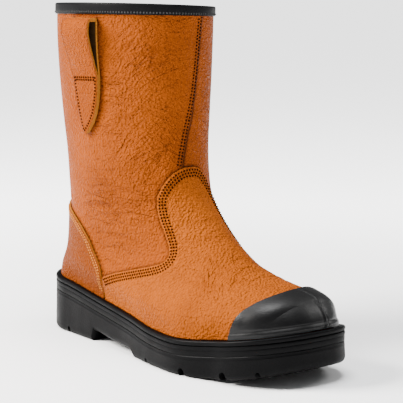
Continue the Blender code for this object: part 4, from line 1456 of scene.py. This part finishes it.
def stitch_tool():
    """Node group that sews a row of stitches along each edge line it is given."""
    name = "stitch_row"
    if name in bpy.data.node_groups:
        return bpy.data.node_groups[name]
    group = bpy.data.node_groups.new(name, "GeometryNodeTree")
    face = group.interface
    for label, kind in (("Geometry", "Geometry"), ("Pitch", "Float"), ("Thread Length", "Float"),
                        ("Thread Width", "Float"), ("Material", "Material")):
        face.new_socket(label, in_out="INPUT", socket_type="NodeSocket" + kind)
    face.new_socket("Geometry", in_out="OUTPUT", socket_type="NodeSocketGeometry")
    new = group.nodes.new
    given = new("NodeGroupInput")
    curve = new("GeometryNodeMeshToCurve")
    resample = new("GeometryNodeResampleCurve")
    resample.mode = "LENGTH"
    tangent = new("GeometryNodeInputTangent")
    align = new("FunctionNodeAlignRotationToVector")
    align.axis = "X"
    thread = new("GeometryNodeMeshUVSphere")
    thread.inputs["Segments"].default_value = 8
    thread.inputs["Rings"].default_value = 5
    thread.inputs["Radius"].default_value = 0.5
    scale = new("ShaderNodeCombineXYZ")
    shape = new("GeometryNodeTransform")
    instance = new("GeometryNodeInstanceOnPoints")
    realize = new("GeometryNodeRealizeInstances")
    shade = new("GeometryNodeSetShadeSmooth")
    paint = new("GeometryNodeSetMaterial")
    result = new("NodeGroupOutput")
    for source, output, target, entry in (
        (given, "Geometry", curve, "Mesh"),
        (curve, "Curve", resample, "Curve"),
        (given, "Pitch", resample, "Length"),
        (resample, "Curve", instance, "Points"),
        (tangent, "Tangent", align, "Vector"),
        (align, "Rotation", instance, "Rotation"),
        (given, "Thread Length", scale, "X"),
        (given, "Thread Width", scale, "Y"),
        (given, "Thread Width", scale, "Z"),
        (thread, "Mesh", shape, "Geometry"),
        (scale, "Vector", shape, "Scale"),
        (shape, "Geometry", instance, "Instance"),
        (instance, "Instances", realize, "Geometry"),
        (realize, "Geometry", shade, "Geometry"),
        (shade, "Geometry", paint, "Geometry"),
        (given, "Material", paint, "Material"),
        (paint, "Geometry", result, "Geometry"),
    ):
        group.links.new(source.outputs[output], target.inputs[entry])
    return group


def stitch_rows(name, lines, thread, width_share=1.0):
    """One piece of stitches along lines in the frame's metres."""
    sizes = bpy.context.scene.boot_sizes
    points, edges = [], []
    for line in lines:
        first = len(points)
        points.extend(line)
        edges.extend((first + i, first + i + 1) for i in range(len(line) - 1))
    data = bpy.data.meshes.new(name)
    data.from_pydata([tuple(p) for p in points], edges, [])
    piece = bpy.data.objects.new(name, data)
    bpy.context.scene.collection.objects.link(piece)
    modifier = piece.modifiers.new("stitches", "NODES")
    group = stitch_tool()
    given = {
        "Pitch": sizes.stitch_pitch, "Thread Length": sizes.stitch_pitch * THREAD_SHARE,
        "Thread Width": sizes.thread * width_share, "Material": material(thread),
    }
    modifier.node_group = group
    for item in group.interface.items_tree:
        if item.in_out == "INPUT" and item.name in given:
            modifier[item.identifier] = given[item.name]
    return dress(baked(piece, []), [])


def tree_of(piece):
    data = piece.data
    points = [tuple(v.co) for v in data.vertices]
    return BVHTree.FromPolygons(points, [tuple(p.vertices) for p in data.polygons])


def row_inside(piece, edge, centre, distance, start=0.0, trim=0.0):
    """Line on a piece at a distance in millimetres inside its edge, towards a centre."""
    points, outward = edge[:, :3], edge[:, 3:]
    count = len(points)
    ahead = points[np.minimum(np.arange(count) + 4, count - 1)]
    ahead = ahead - points[np.maximum(np.arange(count) - 4, 0)]
    inward = np.cross(outward, ahead)
    inward /= np.linalg.norm(inward, axis=1, keepdims=True)
    soften(inward, 8)
    sign = math.copysign(1.0, float(np.sum(inward * (centre - points))))
    moved = points + sign * distance * inward
    soften(moved, 12)
    travel = np.linalg.norm(np.diff(moved, axis=0), axis=1).sum()
    moved = evenly(moved, count)
    first = int(round(count * (start + trim) / travel))
    last = count - int(round(count * trim / travel))
    return on_piece(piece, moved[first:last])


def on_piece(piece, line, sink=0.0001):
    """A line in millimetres laid on a piece, in the frame's metres."""
    tree = tree_of(piece)
    seated = []
    for point in placed(line):
        place, normal, _, _ = tree.find_nearest(Vector(point))
        seated.append(place - normal * sink)
    return seated


def half_pitch():
    """How far every other row is set back, in millimetres."""
    return 500 * bpy.context.scene.boot_sizes.stitch_pitch


def make_vamp_stitches(vamp):
    """Three staggered rows round the tongue and back to the counter."""
    edge = vamp_edge_line(SEAT + OVERLAY)
    centre = surface(9.0, math.radians(-4))
    half = half_pitch()
    rows = [row_inside(vamp, edge, centre, distance, start, 1.0)
            for distance, start in zip(VAMP_ROWS, (0.0, half, 0.0))]
    return stitch_rows("vamp_stitches", rows, "dark_thread")


def make_seam_stitches(upper):
    """Two rows behind the lap edge down the shaft."""
    stations = np.linspace(*SEAM_SEWN, 120)
    degrees = smooth(SEAM_STATIONS, SEAM_ANGLES, stations)
    edge = edge_line(stations, degrees, 0.0, 240)
    centre = surface(3.0, math.radians(-40))
    half = half_pitch()
    rows = [row_inside(upper, edge, centre, distance, start)
            for distance, start in zip(SEAM_ROWS, (0.0, half))]
    return stitch_rows("seam_stitches", rows, "dark_thread")


def make_counter_stitches(counter):
    """Two rows behind the counter's edge."""
    edge = counter_edge_line(SEAT + OVERLAY)
    centre = surface(9.5, math.pi)
    rows = [row_inside(counter, edge, centre, distance, start, 2.0)
            for distance, start in zip(COUNTER_ROWS, (0.0, COUNTER_STAGGER))]
    return stitch_rows("counter_stitches", rows, "pale_thread", COUNTER_THREAD)


def make_loop_stitches(loops):
    """A row round each tongue and two rows across it, under the eye."""
    rows = []
    for side, loop in zip((-1, 1), loops):
        lower = loop_values(np.linspace(TONGUE_START, LOOP_ROWS[-1].station, 40))
        front = [(row.station, side * row.front) for row in lower]
        back = [(row.station, side * row.back) for row in lower[::-1]]
        stations, degrees = zip(*(front + back))
        edge = edge_line(stations, degrees, SEAT + 2 * STRAP, 160)
        centre = surface(3.0, side * math.radians(85))
        rows.append(row_inside(loop, edge, centre, LOOP_ROW, 0.0, 0.5))
        for station in (TONGUE_START, TONGUE_START + LOOP_CROSS_STEP):
            row = loop_values([station])[0]
            turn = side * np.radians(np.linspace(row.front + 3, row.back - 3, 30))
            rows.append(on_piece(loop, surface(np.full(30, station), turn, SEAT + 2 * STRAP)))
    return stitch_rows("loop_stitches", rows, "dark_thread")


def make_binding_stitches(binding):
    """Row that holds the strip near its lower edge."""
    turn = np.linspace(-math.pi, math.pi, 300)
    line = surface(np.full(300, (BINDING_DROP - BINDING_ROW) / RIM_SPACING), turn, SEAT + BINDING_WALL)
    rows = [on_piece(binding, line, 0.0002)]
    return stitch_rows("binding_stitches", rows, "black_thread")


def make_floor():
    data = bpy.data.meshes.new("studio_floor")
    half = FLOOR_HALF
    corners = [(-half, -half, 0), (half, -half, 0), (half, half, 0), (-half, half, 0)]
    data.from_pydata(corners, [], [(0, 1, 2, 3)])
    floor = bpy.data.objects.new("studio_floor", data)
    bpy.context.scene.collection.objects.link(floor)
    finish = Finish("studio_paper", PAPER, 0.75, Specular_IOR_Level=0.2, Emission_Color=WHITE)
    far = finish.node("ShaderNodeVectorMath", operation="LENGTH")
    finish.link(finish.where, far.inputs[0])
    glow = finish.node("ShaderNodeMapRange", interpolation_type="SMOOTHSTEP")
    glow.inputs["From Min"].default_value = GLOW_START
    glow.inputs["From Max"].default_value = GLOW_END
    glow.inputs["To Max"].default_value = GLOW
    finish.link(far.outputs["Value"], glow.inputs["Value"])
    finish.link(glow.outputs["Result"], finish.shader.inputs["Emission Strength"])
    data.materials.append(finish.material)


def direction(azimuth, elevation):
    a, e = math.radians(azimuth), math.radians(elevation)
    return Vector((math.sin(a) * math.cos(e), -math.cos(a) * math.cos(e), math.sin(e)))


def make_lamps():
    aim = Vector(LAMP_AIM)
    for lamp in LAMPS:
        data = bpy.data.lights.new(lamp.name, "AREA")
        data.shape = "DISK"
        data.size = lamp.size
        data.energy = lamp.watts
        data.color = lamp.colour
        light = bpy.data.objects.new(lamp.name, data)
        away = direction(lamp.azimuth, lamp.elevation)
        light.location = aim + away * lamp.distance
        light.rotation_mode = "QUATERNION"
        light.rotation_quaternion = (-away).to_track_quat("-Z", "Y")
        bpy.context.scene.collection.objects.link(light)
    world = bpy.context.scene.world or bpy.data.worlds.new("studio")
    bpy.context.scene.world = world
    world.use_nodes = True
    background = world.node_tree.nodes["Background"]
    background.inputs["Color"].default_value = WHITE
    background.inputs["Strength"].default_value = WORLD_LIGHT


def make_camera():
    """The photograph's viewing angle."""
    back = direction(CAMERA_AZIMUTH, CAMERA_PITCH)
    right = (-back).cross(Vector((0, 0, 1))).normalized()
    up = right.cross(-back)
    roll = math.radians(CAMERA_ROLL)
    turned = right * math.cos(roll) + up * math.sin(roll)
    up = up * math.cos(roll) - right * math.sin(roll)
    data = bpy.data.cameras.new("camera")
    data.lens = CAMERA_LENS
    data.sensor_width = CAMERA_SENSOR
    camera = bpy.data.objects.new("camera", data)
    axes = Matrix((turned, up, back)).transposed()
    camera.matrix_world = Matrix.Translation(CAMERA_PLACE) @ axes.to_4x4()
    bpy.context.scene.collection.objects.link(camera)
    bpy.context.scene.camera = camera


class BOOT_OT_upper(bpy.types.Operator):
    """Build the leather of shaft and foot with its seam"""
    bl_idname = "boot.upper"
    bl_label = "Upper"

    def execute(self, context):
        make_seam_stitches(make_upper())
        return {"FINISHED"}


class BOOT_OT_lining(bpy.types.Operator):
    """Build the fleece lining and cover the insole"""
    bl_idname = "boot.lining"
    bl_label = "Lining"

    def execute(self, context):
        make_lining()
        finish_insole()
        return {"FINISHED"}


class BOOT_OT_vamp(bpy.types.Operator):
    """Build the vamp with its tongue and stitches"""
    bl_idname = "boot.vamp"
    bl_label = "Vamp"

    def execute(self, context):
        make_vamp_stitches(make_vamp())
        return {"FINISHED"}


class BOOT_OT_counter(bpy.types.Operator):
    """Build the heel counter with its stitches"""
    bl_idname = "boot.counter"
    bl_label = "Heel counter"

    def execute(self, context):
        make_counter_stitches(make_counter())
        return {"FINISHED"}


class BOOT_OT_cap(bpy.types.Operator):
    """Build the moulded toe cap"""
    bl_idname = "boot.cap"
    bl_label = "Toe cap"

    def execute(self, context):
        make_cap()
        return {"FINISHED"}


class BOOT_OT_binding(bpy.types.Operator):
    """Build the binding of the collar with its stitches"""
    bl_idname = "boot.binding"
    bl_label = "Collar binding"

    def execute(self, context):
        make_binding_stitches(make_binding())
        return {"FINISHED"}


class BOOT_OT_loops(bpy.types.Operator):
    """Build the two pull loops with their stitches"""
    bl_idname = "boot.loops"
    bl_label = "Pull loops"

    def execute(self, context):
        outer = make_loop("outer_strap", "pull_loop_outer", -1)
        inner = make_loop("inner_strap", "pull_loop_inner", 1)
        make_loop_stitches((outer, inner))
        return {"FINISHED"}


class BOOT_OT_sole(bpy.types.Operator):
    """Build the sole's beaded side and its notched tread"""
    bl_idname = "boot.sole"
    bl_label = "Sole"

    def execute(self, context):
        make_midsole()
        make_outsole()
        return {"FINISHED"}


class BOOT_OT_stage(bpy.types.Operator):
    """Set the floor, the lamps and the camera"""
    bl_idname = "boot.stage"
    bl_label = "Studio"

    def execute(self, context):
        make_floor()
        make_lamps()
        make_camera()
        return {"FINISHED"}


OPERATORS = (
    BOOT_OT_upper, BOOT_OT_lining, BOOT_OT_vamp, BOOT_OT_counter, BOOT_OT_cap,
    BOOT_OT_binding, BOOT_OT_loops, BOOT_OT_sole, BOOT_OT_stage,
)


class BOOT_PT_panel(bpy.types.Panel):
    """Sizes, colours and pieces of the boot"""
    bl_idname = "BOOT_PT_panel"
    bl_label = "Rigger Boot"
    bl_space_type = "VIEW_3D"
    bl_region_type = "UI"
    bl_category = "Rigger Boot"

    def draw(self, context):
        for group in (context.scene.boot_sizes, context.scene.boot_colours):
            for name in group.__annotations__:
                self.layout.prop(group, name)
        for operator in OPERATORS:
            self.layout.operator(operator.bl_idname)


CLASSES = (BootSizes, BootColours, *OPERATORS, BOOT_PT_panel)


def register():
    for item in CLASSES:
        bpy.utils.register_class(item)
    bpy.types.Scene.boot_sizes = bpy.props.PointerProperty(type=BootSizes)
    bpy.types.Scene.boot_colours = bpy.props.PointerProperty(type=BootColours)


def unregister():
    del bpy.types.Scene.boot_colours
    del bpy.types.Scene.boot_sizes
    for item in reversed(CLASSES):
        bpy.utils.unregister_class(item)


def main():
    register()
    for operator in OPERATORS:
        area, name = operator.bl_idname.split(".")
        getattr(getattr(bpy.ops, area), name)()


if __name__ == "__main__":
    main()
